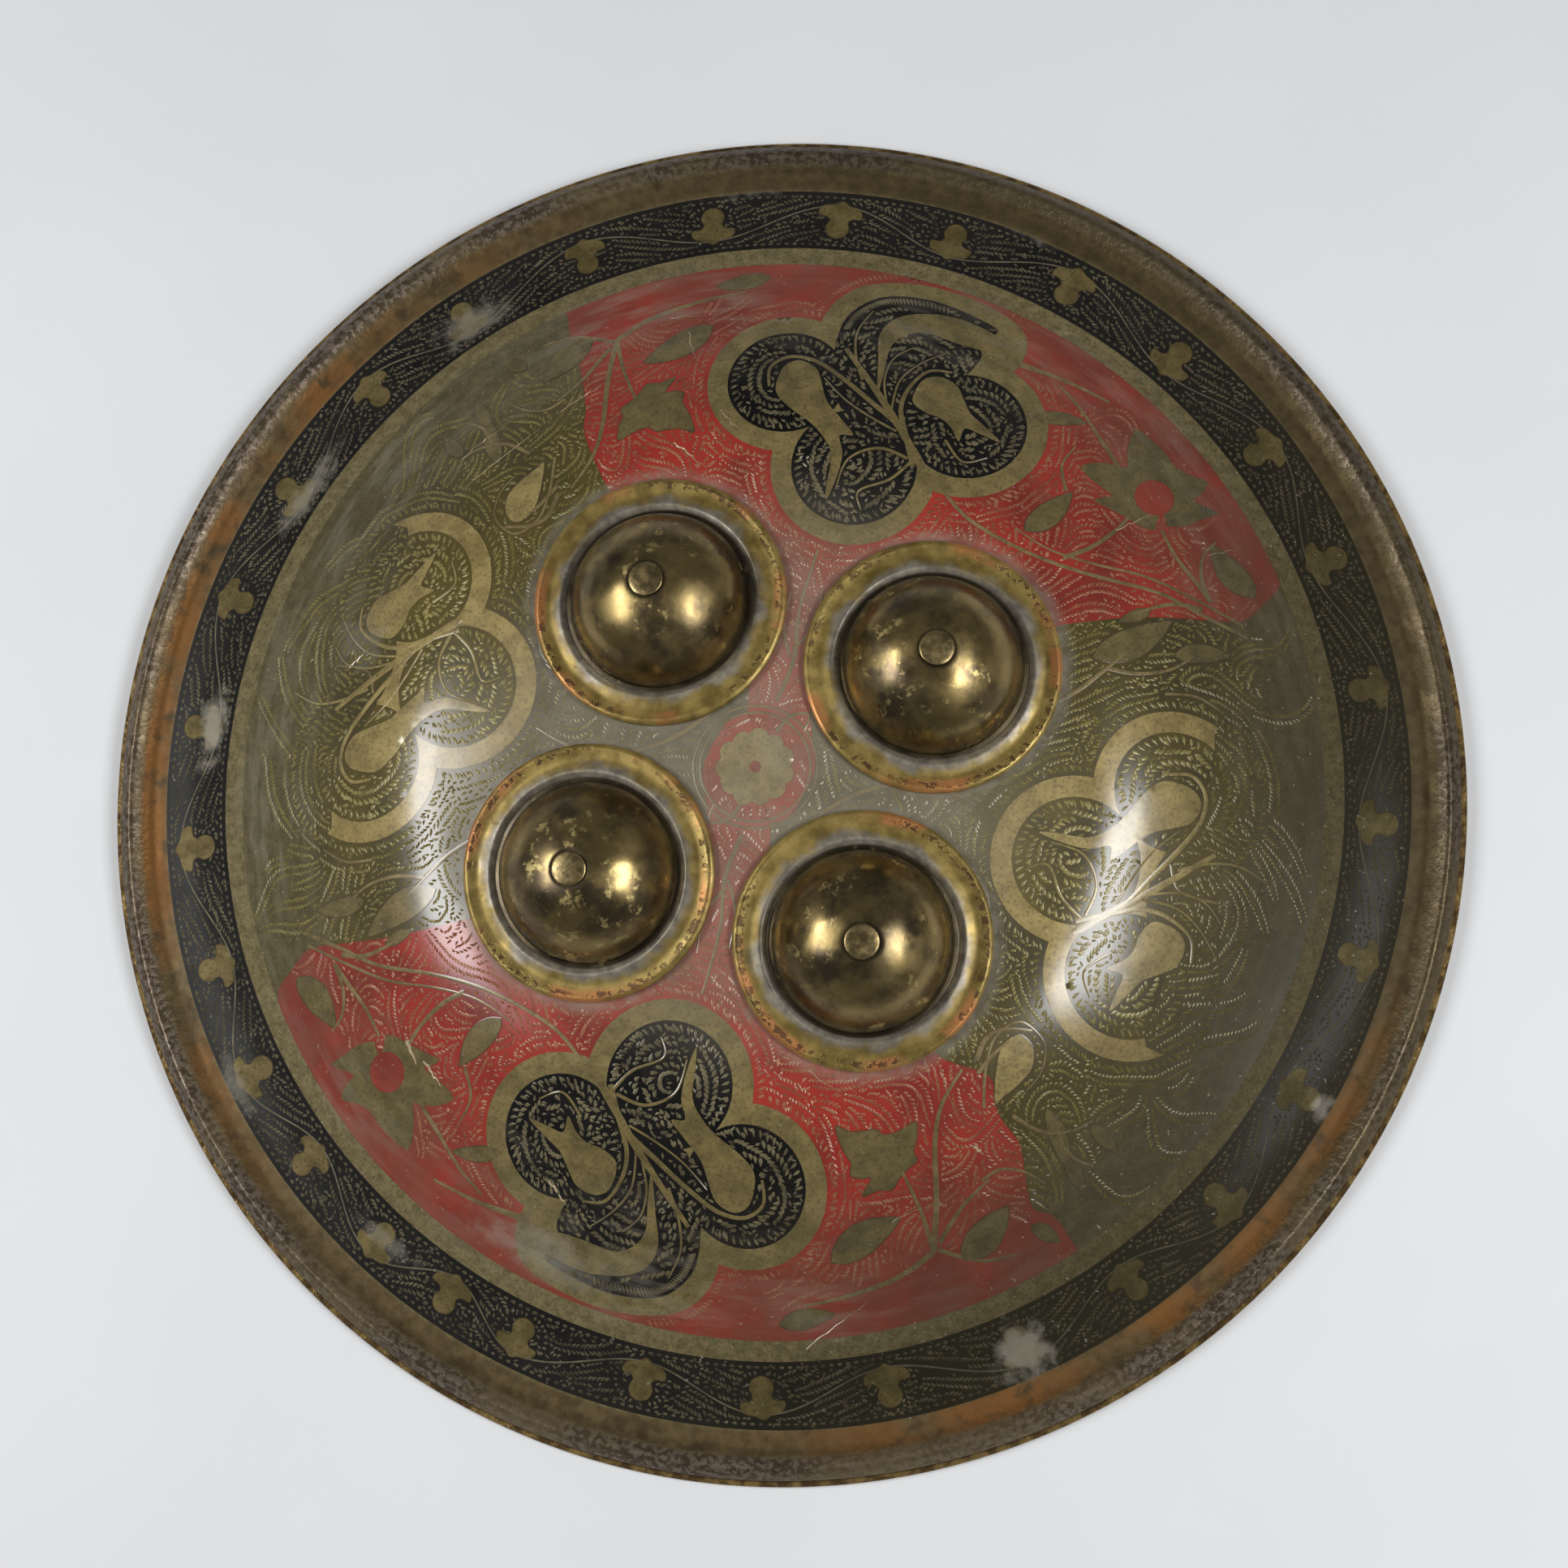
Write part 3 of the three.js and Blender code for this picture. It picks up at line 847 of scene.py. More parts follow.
def red_field(half_turn):
    """The red field's outline: inner boundary, then round the ring."""
    inner = UPPER_FIELD if half_turn else RED_FIELD
    first = math.degrees(math.atan2(inner[-1][1], inner[-1][0]))
    last = math.degrees(math.atan2(inner[0][1], inner[0][0]))
    a = np.radians(np.arange(first, last, -1.5))
    around = FIELD_RADIUS * np.column_stack([np.cos(a), np.sin(a)])
    line = catmull(inner, 5)
    return turn(np.concatenate([line, around]), half_turn)


PALMETTES = {0: BLACK, 90: OLIVE, 180: BLACK, 270: OLIVE}


def palmette_shapes(degrees, grow, outer):
    """Outlines of a palmette's three lobes, grown by a margin, and of its outer lobe."""
    shapes = [disc(x, y, r + grow) for x, y, r in LOBES]
    shapes.append(catmull([*outer, outer[0]], 4)[:-1])
    return [turn(shape, degrees) for shape in shapes]


def lay_zones():
    """Marks on the grid which ground is where."""
    paint(zone, disc(0, 0, BAND_OUTER - 0.5, 240), BAND)
    paint(zone, disc(0, 0, BAND_INNER + 0.5, 240), NOWHERE)
    paint(zone, disc(0, 0, FIELD_RADIUS - 0.5, 240), GREEN_FIELD)
    for half_turn in (0, 180):
        paint(zone, red_field(half_turn), RED)
    for degrees, ground in PALMETTES.items():
        lobes = 4 if ground == BLACK else 3
        for shape in palmette_shapes(degrees, BORDER_WIDTH + 0.5, OUTER_BORDER)[:lobes]:
            paint(zone, shape, NOWHERE)
        for shape in palmette_shapes(degrees, -0.4, OUTER_LOBE)[:lobes]:
            paint(zone, shape, ground)
        if ground == OLIVE:
            paint(zone, turn(round_outline(WORN_SIDE), degrees), GREEN_FIELD)
    for angle in CORNERS.values():
        a = math.radians(angle)
        paint(zone, disc(BOSS_DISTANCE * math.cos(a), BOSS_DISTANCE * math.sin(a), BOSS_CLEAR), NOWHERE)


# ---------------- ornament: tool strokes
strokes = {RED: [], GREEN_FIELD: [], BLACK: [], OLIVE: [], BAND: []}


def stroke(x, y, angle, length, width, bend=0, held=None):
    """One tool stroke, if its ground is bare. The ground is claimed now, or later with the held ones."""
    dx, dy = math.cos(angle) * length / 2, math.sin(angle) * length / 2
    spots = [(cell(x + dx * t), cell(y + dy * t)) for t in (-0.9, -0.45, 0, 0.45, 0.9)]
    kind = int(zone[spots[2][1], spots[2][0]])
    if kind not in strokes or any(taken[j, i] or zone[j, i] != kind for i, j in spots):
        return
    strokes[kind].append((x, y, angle, length, width, bend))
    if held is None:
        claim(spots)
    else:
        held += spots


def claim(spots):
    """Marks strokes' ground as taken."""
    for i, j in spots:
        taken[j - 1 : j + 2, i - 1 : i + 2] = True


def make_strokes(name, rows, ground, material):
    """Small closed teardrops, all in one mesh."""
    rim, ridge = [(-0.5, 0), (0.1, 0.5), (0.5, 0.3), (0.5, -0.3), (0.1, -0.5)], (0.15, 0)
    shape = np.array([*rim, ridge])
    faces = [(i, 5, (i + 1) % 5) for i in range(5)] + [(0, 1, 2, 3, 4)]
    x, y, angle, length, width, bend = (np.array(c)[:, None] for c in zip(*rows))
    u = shape[:, 0] * length
    v = shape[:, 1] * width + bend * (shape[:, 0] + 0.5) ** 2
    px = x + u * np.cos(angle) - v * np.sin(angle)
    py = y + u * np.sin(angle) + v * np.cos(angle)
    above = np.where(np.arange(6) < 5, ground + STROKE_FOOT, ground + STROKE_RISE)
    points = np.stack([px, py, face_height(px, py) + above], axis=-1).reshape(-1, 3)
    body = Body()
    body.add(points, [tuple(i + 6 * n for i in f) for n in range(len(rows)) for f in faces])
    return body.make(name, material)


SWIRLS = waves(6, 0.5, 0.95, 34, 80)
MOTIF_ANGLES = [
    11, 24, 37, 49.5, 62, 74.5, 87, 98.5, 111, 124, 137.5, 149, 162, 174, 187, 199, 211, 222, 232, 242.5,
    251, 259, 271.5, 283, 295, 308, 320, 331.5, 344, 358,
]
MOTIF_MIDDLE = 161
VINE_SWING = 5


def vine_radius(degrees):
    """The border's vine passes inside one bud and outside the next."""
    count = len(MOTIF_ANGLES)
    known = [a + t for t in (-360, 0, 360) for a in MOTIF_ANGLES]
    step = np.interp(degrees, known, np.arange(-count, 2 * count))
    return MOTIF_MIDDLE - VINE_SWING * np.cos(math.pi * step)


def lobe_centres():
    """Every palmette lobe as (x, y, radius)."""
    spots = []
    for degrees in PALMETTES:
        for x, y, r in [*LOBES, (8, 114, 25)]:
            spots.append((*turn([(x, y)], degrees)[0], r))
    return spots


LOBE_CENTRES = lobe_centres()
LOBE_SWAY = 13
DEGREES_IN_RADIAN = 57.3


def flow(x, y):
    """Which way the feathered sprigs run at a place."""
    r = math.hypot(x, y)
    if r < FIELD_RADIUS:
        gap, cx, cy = min((math.hypot(x - cx, y - cy) - size, cx, cy) for cx, cy, size in LOBE_CENTRES)
        if gap < LOBE_SWAY:
            return math.atan2(y - cy, x - cx) + math.pi / 2 + 0.12 * math.sin(x * 0.4 + y * 0.3)
    if r > FIELD_RADIUS:
        a = math.degrees(math.atan2(y, x))
        rise = (vine_radius(a + 0.5) - vine_radius(a - 0.5)) * DEGREES_IN_RADIAN / r
        return math.radians(a) + math.pi / 2 - math.atan(float(rise)) * 0.8
    return float(wave_sum(SWIRLS, x, y)) + 0.6


near = np.zeros((SIDE, SIDE), bool)
STROKE_LEAN = 0.95


def block(x, y, radius):
    """Keeps other sprigs' spines away from a place."""
    n = int(radius / CELL)
    j, i = cell(y), cell(x)
    near[max(j - n, 0) : j + n + 1, max(i - n, 0) : i + n + 1] = True


def trace(x, y, kind, step, longest, swing):
    """A spine that follows the flow both ways until something is in the way."""
    halves = []
    for way in (1, -1):
        px, py, line = x, y, []
        for i in range(longest):
            j, k = cell(py), cell(px)
            if zone[j, k] != kind or near[j, k] or taken[j, k]:
                break
            line.append((px, py))
            a = flow(px, py) + swing * i * way
            px += math.cos(a) * step * way
            py += math.sin(a) * step * way
        halves.append(line)
    return halves[1][:0:-1] + halves[0]


def feather(line, spread, reach, width):
    """Pairs of strokes along a spine, leaning forward, shorter toward the tip."""
    n, held = len(line), []
    for i in range(n):
        (x0, y0), (x1, y1) = line[max(i - 1, 0)], line[min(i + 1, n - 1)]
        heading = math.atan2(y1 - y0, x1 - x0)
        size = reach * (0.62 + 0.38 * math.sin(math.pi * (i + 0.7) / (n + 0.4))) * rng.uniform(0.9, 1.1)
        for side in (1, -1):
            a = heading + side * (STROKE_LEAN + rng.uniform(-0.08, 0.08))
            out = spread + size / 2
            x, y = line[i][0] + math.cos(a) * out, line[i][1] + math.sin(a) * out
            stroke(x, y, a, size, width, side * -0.35, held)
    claim(held)


def fill_zone(kind, tries, apart, pitch, reach, width, longest, keep=lambda x, y: 1):
    """Fills a zone's bare ground with feathered sprigs."""
    rows, columns = np.nonzero((zone == kind) & ~taken)
    if not len(rows):
        return
    for _ in range(tries):
        n = rng.randrange(len(rows))
        x, y = columns[n] * CELL - REACH, rows[n] * CELL - REACH
        if near[rows[n], columns[n]] or taken[rows[n], columns[n]] or rng.random() > keep(x, y):
            continue
        line = trace(x, y, kind, pitch, rng.randint(6, longest), rng.uniform(-0.02, 0.02))
        if len(line) < 3:
            continue
        for px, py in line:
            block(px, py, apart)
        feather(line, 0.35, reach, width)


# ---------------- ornament: drawn figures
TULIP_LONG = [
    (24, -105), (23, -100.5), (18.5, -97), (12, -94), (7, -90.5), (3.6, -86), (2.6, -78), (1.6, -73.5),
    (0.6, -80), (0.8, -87), (3, -92), (-0.5, -93), (3.5, -96.5), (9, -101), (12, -106), (15, -110.5),
    (20, -112), (23.3, -109.5),
]
TULIP_SHORT = [
    (-12.3, -110), (-13, -106.5), (-17, -104.5), (-21, -104), (-24.5, -102), (-27.5, -98.5), (-28, -102.8),
    (-32, -102.4), (-38, -101.6), (-32, -105.5), (-28, -108), (-25, -112), (-22, -115.5), (-17, -116.6),
    (-13.5, -114.5),
]
SWEPT_LEAF = [
    (3, 107), (0.2, 117), (-2, 126), (1, 132.4), (8, 135.8), (18, 136.8), (30, 133.5), (28, 129),
    (20, 128.6), (10, 129.6), (4.5, 127), (2, 122), (2.8, 114),
]
PALMETTE_STEMS = [
    ([(21, 88), (12, 98), (2, 104), (-8, 109.5),
      (-16, 112.8), (-23, 112.5), (-27, 108), (-25.5, 102)], 1.1, 1, 0.5),
    ([(20, 89), (10, 100), (0, 110), (-9, 118.5)], 1.7, 1, 0.5),
    ([(18, 88), (13.5, 97), (10.3, 104), (10.6, 111), (14, 117.5), (20, 119)], 1.1, 1, 0.4),
    ([(6, 105), (3.5, 112), (4, 119), (8, 124)], 0.8, 0.6, 0.3),
    ([(8, 103), (7.5, 112), (11, 119), (17, 125)], 0.8, 0.6, 0.3),
    ([(-2, 110), (-6, 117), (-8, 125), (-6, 133)], 0.9, 0.7, 0.3),
    ([(11, 97), (3, 99.5), (-5, 103), (-12, 108)], 0.8, 0.6, 0.3),
    ([(16, 90), (8, 91), (1, 86), (0, 77)], 0.9, 0.8, 0.3),
    ([(17, 89), (13, 83), (6, 78), (8, 73)], 0.8, 0.8, 0.3),
    ([(24, 98), (30, 93), (36, 96)], 0.8, 0.7, 0.3),
]
# Red field, lower half. Stems are (points, width, share at the start, share at the end).
RED_STEMS = [
    ([(-113, -68.5), (-100, -70.5), (-88, -72.5), (-72, -71.6),
      (-58, -72), (-45, -74.5), (-35, -78), (-28, -83)], 1.5, 0.5, 0.5),
    ([(-111, -71.5), (-98, -74), (-84, -75.8), (-70, -74.8), (-58, -75.2), (-48, -78.5)], 1.2, 0.5, 0.3),
    ([(-100, -72), (-93, -71), (-87, -67.5), (-83, -64)], 1.1, 0.9, 0.3),
    ([(-62, -74), (-68, -79), (-73, -86), (-76, -93)], 1.1, 0.9, 0.5),
    ([(-70, -104), (-62, -112), (-55, -119), (-48, -124)], 1, 0.9, 0.4),
    ([(-62, -123.5), (-50, -126), (-40, -127), (-30, -127.6)], 1.8, 0.3, 1),
    ([(-101.7, -74.8), (-96.7, -78.8), (-89.9, -84.1), (-84.3, -90.5)], 1.1, 0.9, 0.5),
    ([(-101.7, -74.8), (-97.7, -80.5), (-96.6, -87.1), (-98.9, -92.2)], 0.9, 0.9, 0.4),
    ([(-58, -93), (-55, -100), (-57, -107)], 0.9, 0.8, 0.3),
    ([(72, -109), (70, -96), (66.5, -82), (66, -72), (69, -62)], 1.2, 1, 0.4),
    ([(72, -109), (67, -100), (60, -91)], 1, 0.9, 0.5),
    ([(73, -106), (77, -95), (82, -87)], 1, 0.9, 0.4),
    ([(80, -88), (84, -84), (90, -83), (96, -84.5)], 1.2, 0.5, 0.3),
    ([(72, -109), (64, -118), (52, -126), (42, -131)], 1.1, 1, 0.4),
    ([(73, -108), (84, -108), (93, -104)], 1, 0.9, 0.3),
    ([(0, -18), (-1.5, -30), (0.5, -43), (0, -60)], 1.1, 0.8, 0.4),
    ([(-0.5, -30), (3.5, -38), (4, -47)], 0.8, 0.8, 0.3),
    ([(-0.5, -32), (-4.5, -40), (-4, -50)], 0.8, 0.8, 0.3),
    ([(-2, -10), (-4.5, -15), (-9, -16.5), (-9, -12)], 0.9, 0.9, 0.3),
]
RED_LEAVES = [
    ((-112.5, -80.5), (-98, -91), 7.5, 1), ((-50.5, -78.5), (-59.5, -93), 6.5, -0.8),
    ((47, -118), (62, -102.5), 8, 0.8), ((79.5, -108.5), (88, -92.5), 8, -0.8),
    ((37, -137.5), (50.5, -131), 5, 0.3), ((-44, -112), (-58, -115), 4, 0.5),
    ((-87, -67), (-80, -61.5), 3, 0.2), ((95, -96), (103, -98), 4, 0.2),
]
THREE_POINTED = [
    (41.1, -84.1), (44.5, -84.6), (47.9, -83.7), (51.1, -82.4), (53.3, -83.2), (56, -82), (58, -80.3),
    (60.6, -77.9), (61.6, -82.2), (61.5, -85.2), (63, -87.2), (61.3, -89.6), (59.5, -92.7), (58.4, -96),
    (55, -97), (51.4, -99.6), (52.4, -96.2), (52.5, -94.2), (50.2, -95.3), (47.4, -95.1), (47.1, -92.3),
    (44.7, -89.9), (42.5, -87),
]
STAR = [
    (-85.8, -92.1), (-90.1, -93.8), (-93.7, -97.3), (-97.7, -100.8), (-93, -101.5), (-90.1, -102.1),
    (-92, -104.9), (-92.8, -109), (-88.7, -109.1), (-83.7, -110.2), (-80.2, -113.2), (-75.7, -115.8),
    (-70.7, -117.8), (-70.1, -112.1), (-70.9, -107.4), (-71.4, -105.3), (-67.8, -105), (-64.4, -104.5),
    (-59.6, -101.5), (-63.4, -98.6), (-67.6, -96.7), (-69.7, -95.6), (-67.5, -94.6), (-65.5, -92.5),
    (-69.4, -91.8), (-73.8, -90.9), (-78.8, -89.6), (-82.5, -89.7), (-82.4, -92.6), (-83.4, -95.3),
    (-85.1, -93.2),
]
STAR_HEART = (-80.3, -99.1, 5.3)
GREEN_STEMS = [
    ([(72, -59), (73, -53), (77, -49.5), (84, -48)], 1.1, 0.9, 0.5),
    ([(73, -62), (76, -56), (79, -52)], 0.9, 0.9, 0.5),
    ([(84, -70), (92, -72), (99, -70), (104, -66)], 1, 0.8, 0.4),
    ([(96, -71), (101, -76), (107, -77)], 0.9, 0.8, 0.4),
    ([(70, 36), (75, 41), (80, 48), (84, 54)], 1.1, 0.8, 0.5),
    ([(80, 48), (88, 49), (96, 53), (102, 60)], 1, 0.8, 0.4),
    ([(14, -14), (24, -10), (38, -9), (52, -10), (62, -14)], 1.2, 0.9, 0.4),
    ([(14, -14), (22, -4), (34, 4), (48, 6), (60, 3)], 1.1, 0.9, 0.4),
    ([(24, -10), (30, -14), (36, -14)], 0.9, 0.8, 0.3),
    ([(122, -3), (112, -3), (108, 3)], 1, 0.5, 0.6),
    ([(112, 46), (104, 48), (96, 46)], 1, 0.5, 0.6),
]
GREEN_LEAVES = [
    ((76, 50), (93, 66), 8, -1.2), ((92, -66), (101, -80), 4.5, 0.6), ((104, -67), (112, -72), 4, 0.2),
    ((100, -77), (106, -84), 4, 0.2), ((96, 57), (110, 62), 5, 0.6), ((60, -14), (66, -22), 3, 0.2),
]
PAISLEY = [(79, -68), (77.4, -60), (77.6, -53.5), (81, -49.8), (85, -52), (86, -57), (83.6, -62), (80.6, -66)]
PAISLEY_CURL = [(76.5, -70), (74.8, -61), (75.2, -52), (80.5, -46.6), (87.5, -50), (88.6, -57), (86, -63)]
BUD_SIDE = [(2.9, 5.4), (3.9, 2.6), (3, 0.2), (4.4, -1.6), (7.4, -2), (6.4, -5), (2.6, -6.2)]
BUD_SHAPE = [(0, 6.6), *BUD_SIDE, (0, -7.6), *[(-x, y) for x, y in reversed(BUD_SIDE)]]
ROSETTE = (-1, 0)
GROOVE_WIDTH = 0.5
PALMETTE_STEM_GROWTH = 1.3
FIELD_STEM_GROWTH = 1.35


# Bare scratches and chips: (from x, from y, to x, to y, width).
SCRATCHES = [
    (45, -142, 58, -126, 0.7), (-45, 80, -35, 75, 0.8), (-53, 115, -48, 106, 0.6), (73, 86, 81, 94, 0.6),
    (-98, 60, -84, 78, 0.5), (-104, 66, -93, 80, 0.4), (-80, 84, -70, 95, 0.5), (-36, 92, -28, 86, 0.5),
    (-118, 3, -113, 9, 1), (-112, 13, -108, 20, 0.8), (-76, -90, -72, -95, 2.2),
    (-70, -94, -64, -99, 1.4), (58, -60, 63, -68, 0.5), (64, -64, 69, -72, 0.5), (20, 60, 27, 68, 0.4),
    (98, 88, 106, 93, 0.5), (-30, -116, -24, -121, 1.6), (76, -80, 79, -81.5, 1.4),
    (-60, 118, -52, 121, 0.4), (60, -104, 70, -96, 0.4), (-16, 66, -12, 60, 0.5), (30, -72, 42, -76, 0.5),
]


def draw_scratches():
    """Ragged scratches that show bare metal."""
    body = Body()
    for x0, y0, x1, y1, width in SCRATCHES:
        s = np.linspace(0, 1, 9)[:, None]
        line = np.array([x0, y0]) + np.array([x1 - x0, y1 - y0]) * s
        line += np.array([rng.uniform(-0.35, 0.35) for _ in range(18)]).reshape(9, 2)
        ribbon(body, catmull(line, 3), width, 0.5, 0.15, RELIEF_TOP - 0.02)
    body.make("scratches", bare_brass("scratch_metal", (168, 146, 112), (196, 176, 142)))


class Layer:
    """Plates and ribbons of one kind, which also claim the ground they cover."""

    def __init__(self, top, claim=0.5, groove=None):
        self.body, self.top, self.claim, self.groove = Body(), top, claim, groove

    def plate(self, outline):
        plate(self.body, [outline], top=self.top)
        if self.groove:
            line = np.concatenate([finer(outline, 1.2), outline[:1]])
            ribbon(self.groove, line, GROOVE_WIDTH, 1, 1, self.top - 0.04)
        middle = outline.mean(axis=0)
        away = outline - middle
        size = np.maximum(np.linalg.norm(away, axis=1), 0.1)[:, None]
        paint(taken, middle + away * (1 + self.claim / size), True)

    def ribbon(self, points, width, start=1, end=0.2, degrees=0):
        line = catmull(turn(points, degrees), 6)
        ribbon(self.body, line, width, start, end, self.top)
        left, right = ribbon_sides(line, width + self.claim * 2, max(start, 0.6), max(end, 0.5))
        paint(taken, np.concatenate([left, right[::-1]]), True)


def draw_palmettes(layers):
    """Two tulips and their stems in each palmette, and a swept leaf in the black ones."""
    for degrees, ground in PALMETTES.items():
        relief = layers[ground]
        relief.plate(turn(round_outline(TULIP_LONG), 180 + degrees))
        relief.plate(turn(round_outline(TULIP_SHORT), 180 + degrees))
        if ground == BLACK:
            relief.plate(turn(round_outline(SWEPT_LEAF), degrees))
        for points, width, start, end in PALMETTE_STEMS:
            relief.ribbon(points, width * PALMETTE_STEM_GROWTH, start, end, degrees)


def draw_field(leaves, stems, gilt):
    """Leaves, stars, paisleys and stems of both halves of the field."""
    for degrees in (0, 180):
        for base, tip, width, bend in RED_LEAVES + GREEN_LEAVES:
            leaves.plate(turn(leaf(base, tip, width, bend), degrees))
        leaves.plate(turn(round_outline(THREE_POINTED, 3), degrees))
        star = turn(round_outline(STAR, 2), degrees)
        plate(leaves.body, [star], [turn(disc(*STAR_HEART, 24), degrees)], top=leaves.top)
        paint(taken, star, True)
        gilt.plate(turn(round_outline(PAISLEY), degrees))
        stems.ribbon(PAISLEY_CURL, 0.8, 1, 0.4, degrees)
        for points, width, start, end in RED_STEMS + GREEN_STEMS:
            stems.ribbon(points, width * FIELD_STEM_GROWTH, start, end, degrees)


def draw_rosette(leaves, stems):
    """Eleven rounded petals about a red heart, inside two thin rings."""
    x, y = ROSETTE
    count, distance, core, heart = 11, 7.4, 7.6, 1.5
    paint(taken, disc(x, y, 11), True)
    petals = []
    for n in range(count):
        a = n * 2 * math.pi / count
        petals.append(disc(x + distance * math.cos(a), y + distance * math.sin(a), rng.uniform(2.5, 3.1), 16))
    plate(leaves.body, [disc(x, y, core, 32), *petals], [disc(x, y, heart, 16)], top=leaves.top)
    for radius in (14.2, 16):
        loop = disc(x, y, radius, 40)
        stems.ribbon(np.concatenate([loop, loop[:1]]), 0.6, 1, 1)


def draw_band(buds, vine):
    """The border's buds, alternately in and out, and its vine."""
    for n, angle in enumerate(MOTIF_ANGLES):
        a = math.radians(angle)
        shape = round_outline(BUD_SHAPE, 3) * rng.uniform(0.76, 0.84) * (1, 1 if n % 2 == 0 else -1)
        shape = turn(shape + (0, 0.2), angle - 90 + rng.uniform(-5, 5))
        buds.plate(shape + (MOTIF_MIDDLE * math.cos(a), MOTIF_MIDDLE * math.sin(a)))
    degrees = np.arange(0, 360.1, 1)
    radius = vine_radius(degrees)
    line = np.column_stack([radius * np.cos(np.radians(degrees)), radius * np.sin(np.radians(degrees))])
    for first in range(0, 360, 30):
        ribbon(vine.body, line[first : first + 31], 0.45, 1, 1, vine.top)
        left, right = ribbon_sides(line[first : first + 31], 1, 1, 1)
        paint(taken, np.concatenate([left, right[::-1]]), True)


EDGE_GAP, ROW_PITCH, BUD_HALO = 1.9, 1.9, 7.2


def edge_strokes():
    """Rows of strokes along the border's edges, round the palmettes, inside and out, and round the buds."""
    for radius, pitch in ((BAND_OUTER - 1.5, 2.35), (BAND_INNER + 1.5, 2.2)):
        for n in range(int(2 * math.pi * radius / pitch)):
            a = n * pitch / radius
            x, y = radius * math.cos(a), radius * math.sin(a)
            stroke(x, y, a + math.pi / 2, rng.uniform(1.2, 1.6), rng.uniform(0.8, 1))
    for degrees in PALMETTES:
        for shift, length, lean in ((-EDGE_GAP, 2.3, 0.25), (BORDER_WIDTH + EDGE_GAP, 2, 0.3)):
            for cx, cy, r in LOBES:
                radius = r + shift
                count = int(2 * math.pi * radius / ROW_PITCH)
                for n in range(count):
                    a = 2 * math.pi * n / count
                    x, y = turn([(cx + radius * math.cos(a), cy + radius * math.sin(a))], degrees)[0]
                    px, py = turn([(x, y)], -degrees)[0]
                    if min(math.hypot(px - ox, py - oy) - q for ox, oy, q in LOBES) > shift - 0.2:
                        stroke(x, y, a + math.radians(degrees) + lean, length, 0.85, 0.3)
            if PALMETTES[degrees] == OLIVE:
                continue
            line = catmull(OUTER_LOBE[1:9] if shift < 0 else OUTER_BORDER[1:8], 8)
            along = np.gradient(line, axis=0)
            for p, d in zip(line, along):
                d = d / np.linalg.norm(d)
                spot = turn([p + np.array([-d[1], d[0]]) * (shift if shift < 0 else EDGE_GAP)], degrees)[0]
                heading = math.atan2(d[1], d[0]) + math.pi / 2 + math.radians(degrees)
                stroke(spot[0], spot[1], heading + lean, length, 0.8, 0.3)
    for angle in MOTIF_ANGLES:
        a = math.radians(angle)
        for n in range(30):
            b = 2 * math.pi * n / 30
            away = BUD_HALO * (0.8 + 0.2 * abs(math.sin(b - a)))
            x = MOTIF_MIDDLE * math.cos(a) + away * math.cos(b)
            y = MOTIF_MIDDLE * math.sin(a) + away * math.sin(b)
            stroke(x, y, b, 1.2, 0.8)


def sprinkle(tries, keep):
    """Small strokes in the gaps that are left."""
    for _ in range(tries):
        x, y = rng.uniform(-REACH, REACH), rng.uniform(-REACH, REACH)
        r = math.hypot(x, y)
        if r < BAND_OUTER and (r > BAND_INNER or rng.random() < keep(x, y)):
            side = rng.choice((1, -1))
            stroke(x, y, flow(x, y) + side * STROKE_LEAN, rng.uniform(1.1, 1.7), 0.7, side * -0.3)


FADE_END, FADE_WIDTH = 133, 14


def fade(x, y):
    """The engraving is rubbed away toward the outer field."""
    return max(0, min(1, (FADE_END - math.hypot(x, y)) / FADE_WIDTH))


# Sprigs: (zone, tries, room round a spine, step along it, stroke length and width, most steps, share kept).
SPRIGS = [
    (BLACK, 6000, 2.9, 1.4, 2.2, 1.1, 26),
    (OLIVE, 6000, 2.9, 1.4, 2.2, 1.1, 26),
    (BAND, 9000, 2.3, 1.2, 1.7, 0.8, 16),
    (RED, 26000, 2, 1, 1.6, 0.72, 34, fade),
    (GREEN_FIELD, 30000, 2.1, 1.05, 1.7, 0.75, 34, fade),
]
SPRINKLE_TRIES = 110000
GILT = ((126, 110, 64), (158, 140, 86))


def lay_grounds():
    """The lacquered grounds and the palmettes' brass rims."""
    red, black, olive, band = (Body() for _ in range(4))
    borders = {BLACK: Body(), OLIVE: Body()}
    for half_turn in (0, 180):
        plate(red, [red_field(half_turn)], top=FILM_TOP, soft=0)
    for degrees, ground in PALMETTES.items():
        rim = palmette_shapes(degrees, BORDER_WIDTH, OUTER_BORDER)
        inner = palmette_shapes(degrees, 0, OUTER_LOBE)
        if ground == BLACK:
            plate(borders[BLACK], rim, top=BORDER_TOP)
            plate(black, inner, top=GROUND_TOP)
        else:
            worn = [turn(round_outline(WORN_SIDE), degrees)]
            plate(borders[OLIVE], rim[:3], worn, top=BORDER_TOP)
            plate(olive, inner[:3], worn, top=GROUND_TOP)
    radii = np.linspace(BAND_INNER, BAND_OUTER, 10)
    top = np.column_stack([radii, profile_height(radii) + FILM_TOP])
    lathe(band, [*top, *(top[::-1] - (0, FILM_TOP + SUNK))], 360, lifted=True)
    return red, black, olive, band, borders


